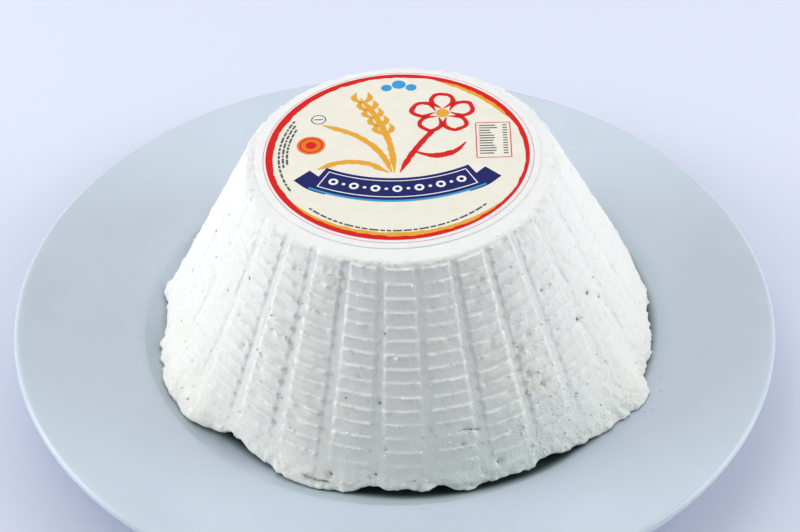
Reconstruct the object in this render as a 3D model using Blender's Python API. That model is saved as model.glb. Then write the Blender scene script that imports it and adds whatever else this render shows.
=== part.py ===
"""Sheep's-milk ricotta, turned out of its basket mould onto a wide-rimmed dinner plate.

Three separate solids: the glazed plate, the curd with the flutes that the
basket's staves leave in its side, and the round paper label on its flat top.
Metres, +Z up. The origin is the middle of the plate's foot, on the table, and
the front of the cheese faces -Y.
"""

import math

import bmesh
import bpy
from mathutils import Euler, Matrix, Vector

MM = 0.001
CONTACT_GAP = 0.4 * MM  # left between pieces that lie on each other

# Plate, turned about the Z axis
PLATE_SEGMENTS = 72
SHOULDER_STEPS = 4  # rings of the rise from the floor to the crease
RIM_STEPS = 3  # rings of the rim, from the crease to the lip
LIP_STEPS = 6
RIM_UNDERSIDE_STEPS = 2
RIM_RADIUS = 155.0 * MM
RIM_HEIGHT = 24.5 * MM  # crown of the lip above the table
LIP_RADIUS = 2.1 * MM
SHOULDER_RADIUS = 103.4 * MM  # crease between rim and well
SHOULDER_HEIGHT = 13.9 * MM
WELL_RADIUS = 87.0 * MM  # edge of the flat floor
WELL_HEIGHT = 9.2 * MM
WELL_CURVE = 1.6  # exponent of the rise from floor to shoulder
RIM_CURVE = 1.05  # exponent of the rise from shoulder to lip
RIM_THICKNESS = 4.5 * MM
FLOOR_THICKNESS = 4.8 * MM
FOOT_OUTER_RADIUS = 92.0 * MM
FOOT_INNER_RADIUS = 89.0 * MM
FOOT_BEVEL = 1.2 * MM
FOOT_FLARE = 3.0 * MM  # how much wider the foot is where it meets the underside of the rim
FOOT_INSIDE_FLARE = 3.6 * MM  # and how much narrower inside, under the floor
SHARP_GLAZE = math.radians(40)

# Curd: a leaning cone frustum in the basket's own axes
BASE_CENTRE = Vector((4.9 * MM, 5.0 * MM, RIM_HEIGHT - 11.8 * MM))
LEAN = Euler((0.007, -0.031, 0.0))
BASE_RADIUS = 102.2 * MM
TOP_RADIUS = 60.6 * MM
CURD_HEIGHT = 81.6 * MM
CORNER_RADIUS = 2.4 * MM  # between the side and the flat top
CORNER_STEPS = 3
CORNER_END = math.radians(30)  # angle above the level at which the corner meets the side
SIDE_START = 3.84 * MM  # first row of the side, down the slant from the top circle
SLANT = math.hypot(CURD_HEIGHT, BASE_RADIUS - TOP_RADIUS)

# Flutes pressed in by the staves of the basket
STAVES = 29
FIRST_STAVE = math.radians(5.7)  # azimuth, from the front towards +X
STAVE_WIDTH = math.radians(3.3)
STAVE_FLOOR = math.radians(2.2)
STAVE_DEPTH = 1.0 * MM
FLUTE_END_SHARE = 0.4  # of its depth, at the rounded corner and at the torn foot

# Foot of the curd: where it is torn off the plate and where it spreads on it,
# as (azimuth in degrees, amount in mm, half width in degrees)
TORN_EDGES = (
    (-90.0, 1.5, 6.0),
    (-41.0, 4.2, 7.0),
    (-8.0, 3.0, 3.0),
    (0.0, 2.2, 5.0),
    (7.5, 3.0, 2.5),
    (22.0, 1.5, 5.0),
    (32.0, 3.2, 5.0),
    (86.0, 1.2, 6.0),
    (104.0, 1.5, 7.0),
    (128.0, 2.5, 9.0),
    (205.0, 3.0, 7.0),
    (242.0, 2.0, 8.0),
)
SPREAD_EDGES = (
    (-98.0, 3.0, 3.0),
    (-88.0, -1.5, 5.0),
    (-77.0, 2.5, 4.0),
    (-65.0, 11.0, 8.0),
    (-55.0, 7.5, 5.0),
    (-23.0, 3.6, 7.0),
    (47.0, 2.8, 5.0),
    (54.0, 2.5, 4.0),
    (62.5, 9.8, 5.5),
    (88.0, -2.2, 7.0),
    (104.0, -3.0, 7.0),
    (150.0, 2.5, 10.0),
    (178.0, 3.0, 8.0),
    (222.0, 2.5, 9.0),
)
SPREAD_REACH = 9.0 * MM  # up the slant
FOOT_SEARCH = (-0.2, 0.3)  # climbs between which the side meets the plate
FOOT_SEARCH_HALVINGS = 30
SIDE_ROWS = 8
# Rings of the underside, inwards from the foot's edge
UNDERSIDE_INSETS = tuple(inset * MM for inset in (2.0, 4.5, 7.5, 11.0, 24.0))
UNDERCUT = 7.5 * MM  # how far in the curd meets the plate under a torn edge
SHARP_CURD = math.radians(50)

# Label
LABEL_RADIUS = 56.0 * MM
LABEL_THICKNESS = 0.4 * MM
LABEL_OFFSET = (-1.2 * MM, 3.4 * MM)  # from the middle of the flat top
LABEL_SEGMENTS = 72
SHARP_PAPER = math.radians(40)

BASKET_FRAME = Matrix.Translation(BASE_CENTRE) @ LEAN.to_matrix().to_4x4()


def clear_scene():
    """Remove every object, so that the script starts from nothing."""
    for thing in list(bpy.data.objects):
        bpy.data.objects.remove(thing, do_unlink=True)


def make_material(name, colour, roughness):
    """A Principled BSDF with one colour and roughness."""
    material = bpy.data.materials.new(name)
    material.use_nodes = True
    shader = material.node_tree.nodes["Principled BSDF"]
    shader.inputs["Base Color"].default_value = (*colour, 1.0)
    shader.inputs["Roughness"].default_value = roughness
    shader.inputs["Metallic"].default_value = 0.0
    return material


def make_object(name, shape, material, sharp_angle):
    """Turn a bmesh into a smooth-shaded object of the scene."""
    bmesh.ops.recalc_face_normals(shape, faces=shape.faces)
    mesh = bpy.data.meshes.new(name)
    shape.to_mesh(mesh)
    shape.free()
    mesh.materials.append(material)
    mesh.shade_smooth()
    mesh.set_sharp_from_angle(angle=sharp_angle)
    thing = bpy.data.objects.new(name, mesh)
    bpy.context.collection.objects.link(thing)
    return thing


def glaze_height(radius):
    """Height of the plate's upper surface at a radius, from floor to lip."""
    if radius < SHOULDER_RADIUS:
        climb = max(0.0, (radius - WELL_RADIUS) / (SHOULDER_RADIUS - WELL_RADIUS))
        return WELL_HEIGHT + (SHOULDER_HEIGHT - WELL_HEIGHT) * climb**WELL_CURVE
    climb = (radius - SHOULDER_RADIUS) / (RIM_RADIUS - SHOULDER_RADIUS)
    return SHOULDER_HEIGHT + (RIM_HEIGHT - SHOULDER_HEIGHT) * climb**RIM_CURVE


def between(start, end, steps):
    """Evenly spaced values from start to end, both included."""
    return [start + (end - start) * step / steps for step in range(steps + 1)]


def plate_profile():
    """Half section of the plate as (radius, height): top, lip, underside and foot."""
    lip_centre = RIM_RADIUS - LIP_RADIUS
    rise = between(WELL_RADIUS, SHOULDER_RADIUS, SHOULDER_STEPS)
    rim = between(SHOULDER_RADIUS, lip_centre - LIP_RADIUS, RIM_STEPS)
    section = [(0.0, WELL_HEIGHT)]
    section += [(radius, glaze_height(radius)) for radius in rise + rim[1:]]
    for angle in between(math.radians(90), math.radians(-90), LIP_STEPS):
        section.append(
            (
                lip_centre + LIP_RADIUS * math.cos(angle),
                RIM_HEIGHT - LIP_RADIUS + LIP_RADIUS * math.sin(angle),
            )
        )
    for radius in between(lip_centre - 2 * RIM_THICKNESS, SHOULDER_RADIUS, RIM_UNDERSIDE_STEPS):
        section.append((radius, glaze_height(radius) - RIM_THICKNESS))
    foot_top = FOOT_OUTER_RADIUS + FOOT_FLARE
    section.append((foot_top, glaze_height(foot_top) - RIM_THICKNESS - FOOT_BEVEL))
    section.append((FOOT_OUTER_RADIUS + FOOT_BEVEL, FOOT_BEVEL))
    section.append((FOOT_OUTER_RADIUS, 0.0))
    section.append((FOOT_INNER_RADIUS, 0.0))
    section.append((FOOT_INNER_RADIUS - FOOT_BEVEL, FOOT_BEVEL))
    section.append((FOOT_INNER_RADIUS - FOOT_INSIDE_FLARE, WELL_HEIGHT - FLOOR_THICKNESS))
    section.append((0.0, WELL_HEIGHT - FLOOR_THICKNESS))
    return section


def make_plate():
    """Spin the half section once round the Z axis."""
    shape = bmesh.new()
    line = [shape.verts.new((radius, 0.0, height)) for radius, height in plate_profile()]
    edges = [shape.edges.new(pair) for pair in zip(line, line[1:])]
    bmesh.ops.spin(
        shape,
        geom=line + edges,
        cent=(0.0, 0.0, 0.0),
        axis=(0.0, 0.0, 1.0),
        angle=math.tau,
        steps=PLATE_SEGMENTS,
        use_merge=True,
    )
    bmesh.ops.remove_doubles(shape, verts=shape.verts, dist=0.01 * MM)
    glaze = make_material("plate_glaze", (0.56, 0.62, 0.68), 0.22)
    return make_object("plate", shape, glaze, SHARP_GLAZE)


def sum_of_bumps(azimuth, bumps):
    """Total of rounded bumps round the foot, each exp(-(offset / half width)^2), in metres."""
    total = 0.0
    for centre, amount, half_width in bumps:
        offset = (math.degrees(azimuth) - centre + 180.0) % 360.0 - 180.0
        total += amount * MM * math.exp(-((offset / half_width) ** 2))
    return total


def side_point(azimuth, climb, inset):
    """Point on the side: climb is 0 at the base circle and 1 at the top, inset cuts a flute."""
    spread = sum_of_bumps(azimuth, SPREAD_EDGES) * math.exp(-max(0.0, climb * SLANT / SPREAD_REACH))
    radius = BASE_RADIUS + (TOP_RADIUS - BASE_RADIUS) * climb - inset + spread
    local = Vector((radius * math.sin(azimuth), -radius * math.cos(azimuth), CURD_HEIGHT * climb))
    return BASKET_FRAME @ local


def seat_height(point):
    """Height at which curd lies on the plate under or over a point."""
    return glaze_height(math.hypot(point.x, point.y)) + CONTACT_GAP


def foot_climb(azimuth):
    """Climb at which the side meets the plate, by bisection, plus the torn edge's lift."""
    low, high = FOOT_SEARCH
    for _ in range(FOOT_SEARCH_HALVINGS):
        middle = (low + high) / 2
        point = side_point(azimuth, middle, 0.0)
        if point.z > seat_height(point):
            high = middle
        else:
            low = middle
    return high + sum_of_bumps(azimuth, TORN_EDGES) / SLANT


def flute_columns():
    """(azimuth, inset) of each column: four corners of every flute and one on every panel."""
    pitch = math.tau / STAVES
    columns = []
    for stave in range(STAVES):
        centre = FIRST_STAVE + stave * pitch
        columns.append((centre - STAVE_WIDTH / 2, 0.0))
        columns.append((centre - STAVE_FLOOR / 2, STAVE_DEPTH))
        columns.append((centre + STAVE_FLOOR / 2, STAVE_DEPTH))
        columns.append((centre + STAVE_WIDTH / 2, 0.0))
        columns.append((centre + pitch / 2, 0.0))
    return columns


def curd_column(azimuth, inset):
    """Points of one column, from the flat top over the corner, down the side and in under."""
    corner = TOP_RADIUS - CORNER_RADIUS
    direction = Vector((math.sin(azimuth), -math.cos(azimuth), 0.0))
    points = []
    for angle in between(math.radians(90), CORNER_END, CORNER_STEPS):
        radius = corner + CORNER_RADIUS * math.cos(angle)
        height = CURD_HEIGHT - CORNER_RADIUS * (1 - math.sin(angle))
        points.append(BASKET_FRAME @ (direction * radius + Vector((0.0, 0.0, height))))
    foot = foot_climb(azimuth)
    for step, climb in enumerate(between(1.0 - SIDE_START / SLANT, foot, SIDE_ROWS)):
        # The flute fades out over the first row, at the rounded corner, and at the torn foot
        depth = inset * (FLUTE_END_SHARE if step in (0, SIDE_ROWS) else 1.0)
        points.append(side_point(azimuth, climb, depth))
    edge = points[-1]
    edge.z = max(edge.z, seat_height(edge))
    lift = edge.z - seat_height(edge)
    reach = math.hypot(edge.x, edge.y)
    for distance in UNDERSIDE_INSETS:
        point = edge * ((reach - distance) / reach)
        fade = max(0.0, 1.0 - distance / UNDERCUT) ** 2
        point.z = seat_height(point) + lift * fade
        points.append(point)
    return points


def make_curd(frame):
    """Skin the columns into one closed body, with a fan at the top and one underneath."""
    shape = bmesh.new()
    columns = [[shape.verts.new(point) for point in curd_column(*column)] for column in flute_columns()]
    top_middle = shape.verts.new(BASKET_FRAME @ Vector((0.0, 0.0, CURD_HEIGHT)))
    foot_middle = shape.verts.new((0.0, 0.0, WELL_HEIGHT + CONTACT_GAP))
    for column, following in zip(columns, columns[1:] + columns[:1]):
        for row in range(len(column) - 1):
            shape.faces.new((column[row], column[row + 1], following[row + 1], following[row]))
        shape.faces.new((top_middle, column[0], following[0]))
        shape.faces.new((foot_middle, following[-1], column[-1]))
    shape.transform(BASKET_FRAME.inverted())
    white_curd = make_material("curd", (0.90, 0.90, 0.87), 0.55)
    curd = make_object("ricotta", shape, white_curd, SHARP_CURD)
    curd.parent = frame
    return curd


def make_label(frame):
    """A thin round paper label on the flat top, a little behind and left of its middle."""
    shape = bmesh.new()
    bmesh.ops.create_cone(
        shape,
        cap_ends=True,
        segments=LABEL_SEGMENTS,
        radius1=LABEL_RADIUS,
        radius2=LABEL_RADIUS,
        depth=LABEL_THICKNESS,
    )
    paper = make_material("label_paper", (0.90, 0.86, 0.76), 0.45)
    label = make_object("label", shape, paper, SHARP_PAPER)
    label.parent = frame
    label.location = (*LABEL_OFFSET, CURD_HEIGHT + CONTACT_GAP + LABEL_THICKNESS / 2)
    return label


def make_basket_frame():
    """Empty that carries what leans with the basket: the curd and its label."""
    frame = bpy.data.objects.new("basket_frame", None)
    frame.location = BASE_CENTRE
    frame.rotation_euler = LEAN
    bpy.context.collection.objects.link(frame)
    return frame


def main():
    """Build the plate, then the curd and its label in the basket's axes."""
    clear_scene()
    make_plate()
    frame = make_basket_frame()
    make_curd(frame)
    make_label(frame)
    bpy.context.view_layer.update()


main()
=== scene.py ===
"""Finish of a basket-moulded sheep's-milk ricotta on its dinner plate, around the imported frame.

The curd, the glazed plate and the paper label are each rebuilt as a fine surface where
their CAD solids lie. Crumbs and the inks of the label are pieces of their own.
Metres, +Z up. The front of the cheese faces -Y, and azimuths are degrees from there towards +X.
"""

import logging
import math
from collections.abc import Iterator, Sequence
from dataclasses import dataclass, field
from enum import Enum, IntEnum

import bpy
import numpy as np
from mathutils import Euler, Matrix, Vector


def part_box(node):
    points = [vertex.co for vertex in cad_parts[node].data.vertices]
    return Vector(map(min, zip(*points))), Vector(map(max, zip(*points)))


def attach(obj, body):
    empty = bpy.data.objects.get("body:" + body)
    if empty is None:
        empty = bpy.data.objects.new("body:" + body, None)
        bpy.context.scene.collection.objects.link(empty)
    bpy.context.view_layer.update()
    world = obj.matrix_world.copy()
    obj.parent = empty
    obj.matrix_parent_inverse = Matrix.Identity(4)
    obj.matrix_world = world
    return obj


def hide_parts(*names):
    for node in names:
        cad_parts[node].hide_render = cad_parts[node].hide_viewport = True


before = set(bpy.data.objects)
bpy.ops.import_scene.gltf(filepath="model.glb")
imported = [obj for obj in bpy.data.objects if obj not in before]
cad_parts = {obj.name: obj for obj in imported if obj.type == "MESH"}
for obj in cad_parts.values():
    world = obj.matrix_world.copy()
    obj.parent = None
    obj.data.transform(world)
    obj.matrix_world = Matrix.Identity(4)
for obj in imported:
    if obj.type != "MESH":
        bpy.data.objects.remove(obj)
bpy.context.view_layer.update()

MM = 0.001
BODY = "root"
# Edges of curd that turn by more than this many degrees stay sharp
SOFT_EDGES = 80.0

Array = np.ndarray
Colour = tuple[float, float, float]
Material = bpy.types.Material
Socket = bpy.types.NodeSocket
log = logging.getLogger("ricotta")


class Slot(Enum):
    """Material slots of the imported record."""

    GLAZE = "glaze"
    CURD = "curd"
    PAPER = "label_paper"


class Seed(IntEnum):
    """Seeds of the noises and the random numbers, so that every run gives the same cheese."""

    STAVE_PLACES = 11
    STAVE_WIDTHS = 12
    STAVE_DEPTHS = 13
    RING_WAVER = 21
    RING_SHIVER = 22
    FOOT_TEARS = 31
    TEAR_EDGES = 35
    FOOT_FRAYS = 36
    FLUTE_EDGES = 41
    LIPS = 42
    FLUTE_FLOORS = 43
    RIDGE_BREAKS = 51
    RIDGE_CRESTS = 53
    NOTCHES = 61
    PINHOLES = 71
    SWELL = 81
    RIM_LUMPS = 82
    SKIN_GRAIN = 84
    CRUMBLY_LUMPS = 87
    FOOT_UNDERCUT = 91
    FOOT_LUMPS = 95
    FOOT_CRUMBS = 97
    PAPER_WAVES = 101
    RED_RING = 121
    RED_RING_DRIFT = 125
    LONG_SWEEP = 131
    SHORT_SWEEP = 134
    RULES = 141
    CRUMBS = 151
    GRASS_BLADES = 200
    GRASS_GRAINS = 210
    FLOWER_STALK = 230
    FLOWER_LEAF = 231
    PETALS = 240


# ------------------------ numbers and noise


def paint(red: float, green: float, blue: float) -> Colour:
    """Linear colour of a display colour given as 0-255 per channel.

    Args:
        red: Red channel.
        green: Green channel.
        blue: Blue channel.

    Returns:
        The channels with the display curve undone.
    """
    shown = np.array((red, green, blue)) / 255.0
    linear = np.where(shown <= 0.04045, shown / 12.92, ((shown + 0.055) / 1.055) ** 2.4)
    return tuple(float(channel) for channel in linear)


def darker(colour: Colour, share: float) -> Colour:
    """A colour at a share of its brightness."""
    return tuple(share * channel for channel in colour)


def ramp(low: float, high: float, value: Array) -> Array:
    """Smooth step: 0 below low, 1 above high, and 3t^2 - 2t^3 between."""
    part = np.clip((value - low) / (high - low), 0.0, 1.0)
    return part * part * (3.0 - 2.0 * part)


def bell(offset: Array) -> Array:
    """Rounded bump exp(-offset^2)."""
    return np.exp(-np.square(offset))


def turn_between(angle: Array, centre: Array) -> Array:
    """Signed difference of two azimuths in degrees, wrapped to -180..180."""
    return (angle - centre + 180.0) % 360.0 - 180.0


def circle(count: int) -> Array:
    """Places round a circle of radius 1, from +x, count by 2."""
    angle = np.linspace(0.0, math.tau, count, endpoint=False)
    return np.stack([np.cos(angle), np.sin(angle)], axis=-1)


def round_about(radius: Array, angle: Array, height: Array) -> Array:
    """Places of radii, turns about Z in radians and heights: from the front, towards +X."""
    parts = np.broadcast_arrays(radius * np.sin(angle), -radius * np.cos(angle), height)
    return np.stack(parts, axis=-1)


def turn_matrix(turns: Sequence[float]) -> Array:
    """Matrix of three turns about X, Y and Z, in radians."""
    return np.array(Euler(tuple(turns)).to_matrix())


def noise(points: Array, cell: float, seed: int) -> Array:
    """Smooth noise from -1 to 1: random values at the corners of cubic cells, blended between.

    The values repeat after 48 cells, which is farther than any piece reaches.

    Args:
        points: Places to read it at, with x, y and z last.
        cell: Edge of a cell in metres.
        seed: Seed of the corner values.

    Returns:
        One value for each point.
    """
    side = 48
    table = np.random.default_rng(seed).uniform(-1.0, 1.0, (side, side, side))
    scaled = points / cell
    corner = np.floor(scaled).astype(int)
    part = scaled - corner
    part = part * part * (3.0 - 2.0 * part)
    total = np.zeros(points.shape[:-1])
    for step in np.ndindex(2, 2, 2):
        share = np.prod(np.where(np.array(step) == 1, part, 1.0 - part), axis=-1)
        at = (corner + step) % side
        total += share * table[at[..., 0], at[..., 1], at[..., 2]]
    return total


def cloud(points: Array, cell: float, seed: int, octaves: int = 3) -> Array:
    """Sum of noises, each with half the cell and 0.55 of the weight of the one before."""
    weights = 0.55 ** np.arange(octaves)
    layers = [weight * noise(points, cell / 2**k, seed + k) for k, weight in enumerate(weights)]
    return sum(layers) / weights.sum()


def billow(points: Array, cell: float, seed: int, octaves: int = 3) -> Array:
    """Rounded lumps with creases between them: halving layers of |noise|, shifted to middle on 0."""
    mean = 0.3
    weights = 0.5 ** np.arange(octaves)
    layers = [w * (np.abs(noise(points, cell / 2**k, seed + k)) - mean) for k, w in enumerate(weights)]
    return 2.0 * sum(layers) / weights.sum()


# ------------------------ meshes


@dataclass
class Shell:
    """One closed shell held as arrays until it becomes an object.

    Attributes:
        points: Vertex places, n by 3.
        quads: Vertex numbers of the four-sided faces, m by 4.
        triangles: Vertex numbers of the three-sided faces, k by 3.
        marks: Named values for each vertex, which the material reads as attributes.
    """

    points: Array
    quads: Array
    triangles: Array
    marks: dict[str, Array] = field(default_factory=dict)

    def volume(self) -> float:
        """Signed volume: a sixth of the sum of each triangle's triple product."""
        faces = np.vstack([self.quads[:, [0, 1, 2]], self.quads[:, [0, 2, 3]], self.triangles])
        a, b, c = (self.points[faces[:, k]] for k in range(3))
        return float(np.einsum("ij,ij->i", a, np.cross(b, c)).sum() / 6.0)

    def outward(self) -> "Shell":
        """The same shell with its faces pointing out."""
        if self.volume() >= 0.0:
            return self
        return Shell(self.points, self.quads[:, ::-1], self.triangles[:, ::-1], self.marks)


def tube(grid: Array, marks: dict[str, Array] | None = None, loop: bool = False) -> Shell:
    """Skin a grid that closes round its columns.

    Each row is a closed ring of points. Neighbouring rows are joined by quads, and the two
    ends close on a pole at the middle of the ring there, or on each other for a loop.

    Args:
        grid: Points, rows by columns by 3.
        marks: Values for each grid point, by name.
        loop: Join the last row to the first instead of closing on poles.

    Returns:
        The closed shell, facing out.
    """
    rows, columns, _ = grid.shape
    number = np.arange(rows * columns).reshape(rows, columns)
    upper = number if loop else number[:-1]
    lower = np.roll(number, -1, axis=0) if loop else number[1:]
    corners = [upper, lower, np.roll(lower, -1, axis=1), np.roll(upper, -1, axis=1)]
    quads = np.stack(corners, axis=-1)
    points = grid.reshape(-1, 3)
    values = {name: value.ravel() for name, value in (marks or {}).items()}
    triangles = np.zeros((0, 3), int)
    if not loop:
        points = np.vstack([points, grid[0].mean(axis=0), grid[-1].mean(axis=0)])
        first, last, after = number[0], number[-1], np.roll(np.arange(columns), -1)
        start = np.full(columns, rows * columns)
        triangles = np.vstack(
            [np.stack([start, first, first[after]], -1), np.stack([start + 1, last[after], last], -1)]
        )
        values = {name: np.append(value, (value[0], value[-1])) for name, value in values.items()}
    return Shell(points, quads.reshape(-1, 4), triangles, values).outward()


def joined(shells: Sequence[Shell]) -> Shell:
    """Several shells as one, numbered one after the other."""
    starts = np.cumsum([0] + [len(shell.points) for shell in shells[:-1]])
    return Shell(
        np.vstack([shell.points for shell in shells]),
        np.vstack([shell.quads + start for shell, start in zip(shells, starts)]),
        np.vstack([shell.triangles + start for shell, start in zip(shells, starts)]),
    )


def add_object(name: str, data: bpy.types.ID) -> bpy.types.Object:
    """A new object in the scene."""
    thing = bpy.data.objects.new(name, data)
    bpy.context.scene.collection.objects.link(thing)
    return thing


def make_piece(
    name: str,
    shell: Shell,
    material: Material,
    slot: Slot,
    node: str | None = None,
    sharp_angle: float = 40.0,
) -> None:
    """Turn a shell into a piece that rides on the body.

    Args:
        name: Name of the piece.
        shell: Its surface.
        material: Its finish.
        slot: The record's slot that the finish belongs to; not used.
        node: CAD node that the piece stands for, if any.
        sharp_angle: Edges that turn by more than this many degrees stay sharp.
    """
    mesh = bpy.data.meshes.new(name)
    corners = np.concatenate([shell.quads.ravel(), shell.triangles.ravel()])
    sizes = np.repeat([4, 3], [len(shell.quads), len(shell.triangles)])
    mesh.vertices.add(len(shell.points))
    mesh.vertices.foreach_set("co", shell.points.astype(np.float32).ravel())
    mesh.loops.add(len(corners))
    mesh.loops.foreach_set("vertex_index", corners.astype(np.int32))
    mesh.polygons.add(len(sizes))
    mesh.polygons.foreach_set("loop_start", (np.cumsum(sizes) - sizes).astype(np.int32))
    mesh.update(calc_edges=True)
    for mark, values in shell.marks.items():
        layer = mesh.attributes.new(mark, "FLOAT", "POINT")
        layer.data.foreach_set("value", values.astype(np.float32))
    mesh.shade_smooth()
    mesh.set_sharp_from_angle(angle=math.radians(sharp_angle))
    mesh.materials.append(material)
    piece = add_object(name, mesh)
    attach(piece, BODY)
    if node:
        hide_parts(node)
    triangles = 2 * len(shell.quads) + len(shell.triangles)
    log.info("%s: %d triangles, %.2f cm3", name, triangles, shell.volume() * 1e6)


# ------------------------ shared shader effects


class Nodes:
    """Short hand for adding and joining nodes in one tree."""

    def __init__(self, tree: bpy.types.NodeTree) -> None:
        """Keep the tree."""
        self.tree = tree

    def feed(self, socket: Socket, value: object) -> None:
        """Join an output to an input socket, or set the input to a value."""
        if isinstance(value, Socket):
            self.tree.links.new(value, socket)
        else:
            socket.default_value = value

    def add(
        self, kind: str, inputs: dict[str | int, object] | None = None, **settings: object
    ) -> bpy.types.Node:
        """Add a node.

        Args:
            kind: Its bl_idname without the ShaderNode in front.
            inputs: What feeds its inputs, by name or number.
            settings: Its properties, by name.

        Returns:
            The node.
        """
        node = self.tree.nodes.new("ShaderNode" + kind)
        for name, value in settings.items():
            setattr(node, name, value)
        for key, value in (inputs or {}).items():
            self.feed(node.inputs[key], value)
        return node

    def math(self, operation: str, *values: object) -> Socket:
        """Result of one operation of a Math node on sockets or numbers."""
        return self.add("Math", dict(enumerate(values)), operation=operation).outputs[0]

    def less(self, mask: Socket) -> Socket:
        """The opposite of a mask: 1 minus it."""
        return self.math("SUBTRACT", 1.0, mask)

    def part(self, vector: Socket, axis: str) -> Socket:
        """One component of a vector: X, Y or Z."""
        return self.add("SeparateXYZ", {0: vector}).outputs[axis]

    def reach(self, place: Socket, centre: tuple[float, float] = (0.0, 0.0)) -> Socket:
        """Level distance from an upright axis: the root of the sum of the squared x and y offsets."""
        squares = []
        for axis, at in zip("XY", centre):
            offset = self.math("SUBTRACT", self.part(place, axis), at)
            squares.append(self.math("POWER", self.math("ABSOLUTE", offset), 2.0))
        return self.math("SQRT", self.math("ADD", *squares))

    def step(self, value: Socket, low: float, high: float) -> Socket:
        """A smooth mask that goes from 0 at low to 1 at high."""
        inputs = {"Value": value, "From Min": low, "From Max": high}
        return self.add("MapRange", inputs, interpolation_type="SMOOTHSTEP").outputs["Result"]

    def blend(self, mask: Socket, first: object, second: object) -> Socket:
        """Mix two colours by a mask.

        Args:
            mask: Share of the second.
            first: Colour or socket where the mask is 0.
            second: Colour or socket where the mask is 1.

        Returns:
            The mixed colour.
        """
        node = self.add("Mix", {"Factor": mask}, data_type="RGBA")
        for key, value in (("A", first), ("B", second)):
            socket = [s for s in node.inputs if s.name == key and s.type == "RGBA"][0]
            self.feed(socket, (*value, 1.0) if isinstance(value, tuple) else value)
        return [s for s in node.outputs if s.type == "RGBA"][0]


def new_group(
    name: str, inputs: Sequence[tuple[str, str, float | None]], outputs: Sequence[tuple[str, str]]
) -> tuple[bpy.types.NodeTree, Nodes, bpy.types.Node, bpy.types.Node]:
    """Start a shader node group.

    Args:
        name: Its name.
        inputs: Name, socket kind and default of each input.
        outputs: Name and socket kind of each output.

    Returns:
        The tree, its node adder, and its input and output nodes.
    """
    tree = bpy.data.node_groups.new(name, "ShaderNodeTree")
    for label, kind, default in inputs:
        socket = tree.interface.new_socket(label, in_out="INPUT", socket_type="NodeSocket" + kind)
        if default is not None:
            socket.default_value = default
    for label, kind in outputs:
        tree.interface.new_socket(label, in_out="OUTPUT", socket_type="NodeSocket" + kind)
    nodes = Nodes(tree)
    start = tree.nodes.new("NodeGroupInput")
    end = tree.nodes.new("NodeGroupOutput")
    return tree, nodes, start, end


def build_grain_group() -> bpy.types.NodeTree:
    """Group: a fractal height from 0 to 1 whose finest lumps are a few times smaller than Size."""
    inputs = [("Vector", "Vector", None), ("Size", "Float", 0.001), ("Roughness", "Float", 0.6)]
    tree, nodes, start, end = new_group("surface_grain", inputs, [("Height", "Float")])
    lumps = nodes.add(
        "TexNoise",
        {
            "Vector": start.outputs["Vector"],
            "Scale": nodes.math("DIVIDE", 1.0, start.outputs["Size"]),
            "Detail": 4.0,
            "Roughness": start.outputs["Roughness"],
        },
    )
    nodes.feed(end.inputs["Height"], lumps.outputs["Fac"])
    return tree


def build_speck_group() -> bpy.types.NodeTree:
    """Group: a mask of scattered round specks, one in each chosen cell of the given Spacing.

    A cell has a speck where its random value is under Share. Radius is in spacings and
    each speck has 0.5 to 1.3 of it, its edge fades over the outer four fifths, and noise with
    cells of a fifth of the spacing bends its outline.
    """
    fineness, wander_reach = 5.0, 0.22
    least, range_of_sizes, solid = 0.5, 0.8, 0.2
    inputs = [
        ("Vector", "Vector", None),
        ("Spacing", "Float", 0.004),
        ("Radius", "Float", 0.12),
        ("Share", "Float", 0.3),
    ]
    tree, nodes, start, end = new_group("scattered_specks", inputs, [("Mask", "Float")])
    place, spacing = start.outputs["Vector"], start.outputs["Spacing"]
    scale = nodes.math("DIVIDE", 1.0, spacing)
    fine = nodes.math("MULTIPLY", scale, fineness)
    wander = nodes.add("TexNoise", {"Vector": place, "Scale": fine}).outputs["Color"]
    reach = nodes.math("MULTIPLY", spacing, wander_reach)
    shift = nodes.add("VectorMath", {0: wander, "Scale": reach}, operation="SCALE").outputs[0]
    moved = nodes.add("VectorMath", {0: place, 1: shift}, operation="ADD").outputs[0]
    cells = nodes.add("TexVoronoi", {"Vector": moved, "Scale": scale}, feature="F1")
    random = nodes.add("SeparateColor", {"Color": cells.outputs["Color"]})
    chosen = nodes.math("LESS_THAN", random.outputs["Red"], start.outputs["Share"])
    own = nodes.math("MULTIPLY_ADD", random.outputs["Green"], range_of_sizes, least)
    radius = nodes.math("MULTIPLY", start.outputs["Radius"], own)
    ratio = nodes.math("DIVIDE", cells.outputs["Distance"], radius)
    inside = nodes.less(nodes.step(ratio, solid, 1.0))
    nodes.feed(end.inputs["Mask"], nodes.math("MULTIPLY", inside, chosen))
    return tree


@dataclass(frozen=True)
class Effects:
    """Shader groups that several finishes share."""

    grain: bpy.types.NodeTree
    specks: bpy.types.NodeTree

    @classmethod
    def build(cls) -> "Effects":
        """Build each group once."""
        return cls(build_grain_group(), build_speck_group())


@dataclass(frozen=True)
class Scatter:
    """Scattered specks: spacing in metres, radius in spacings and share of cells with one."""

    spacing: float
    radius: float
    share: float


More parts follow.
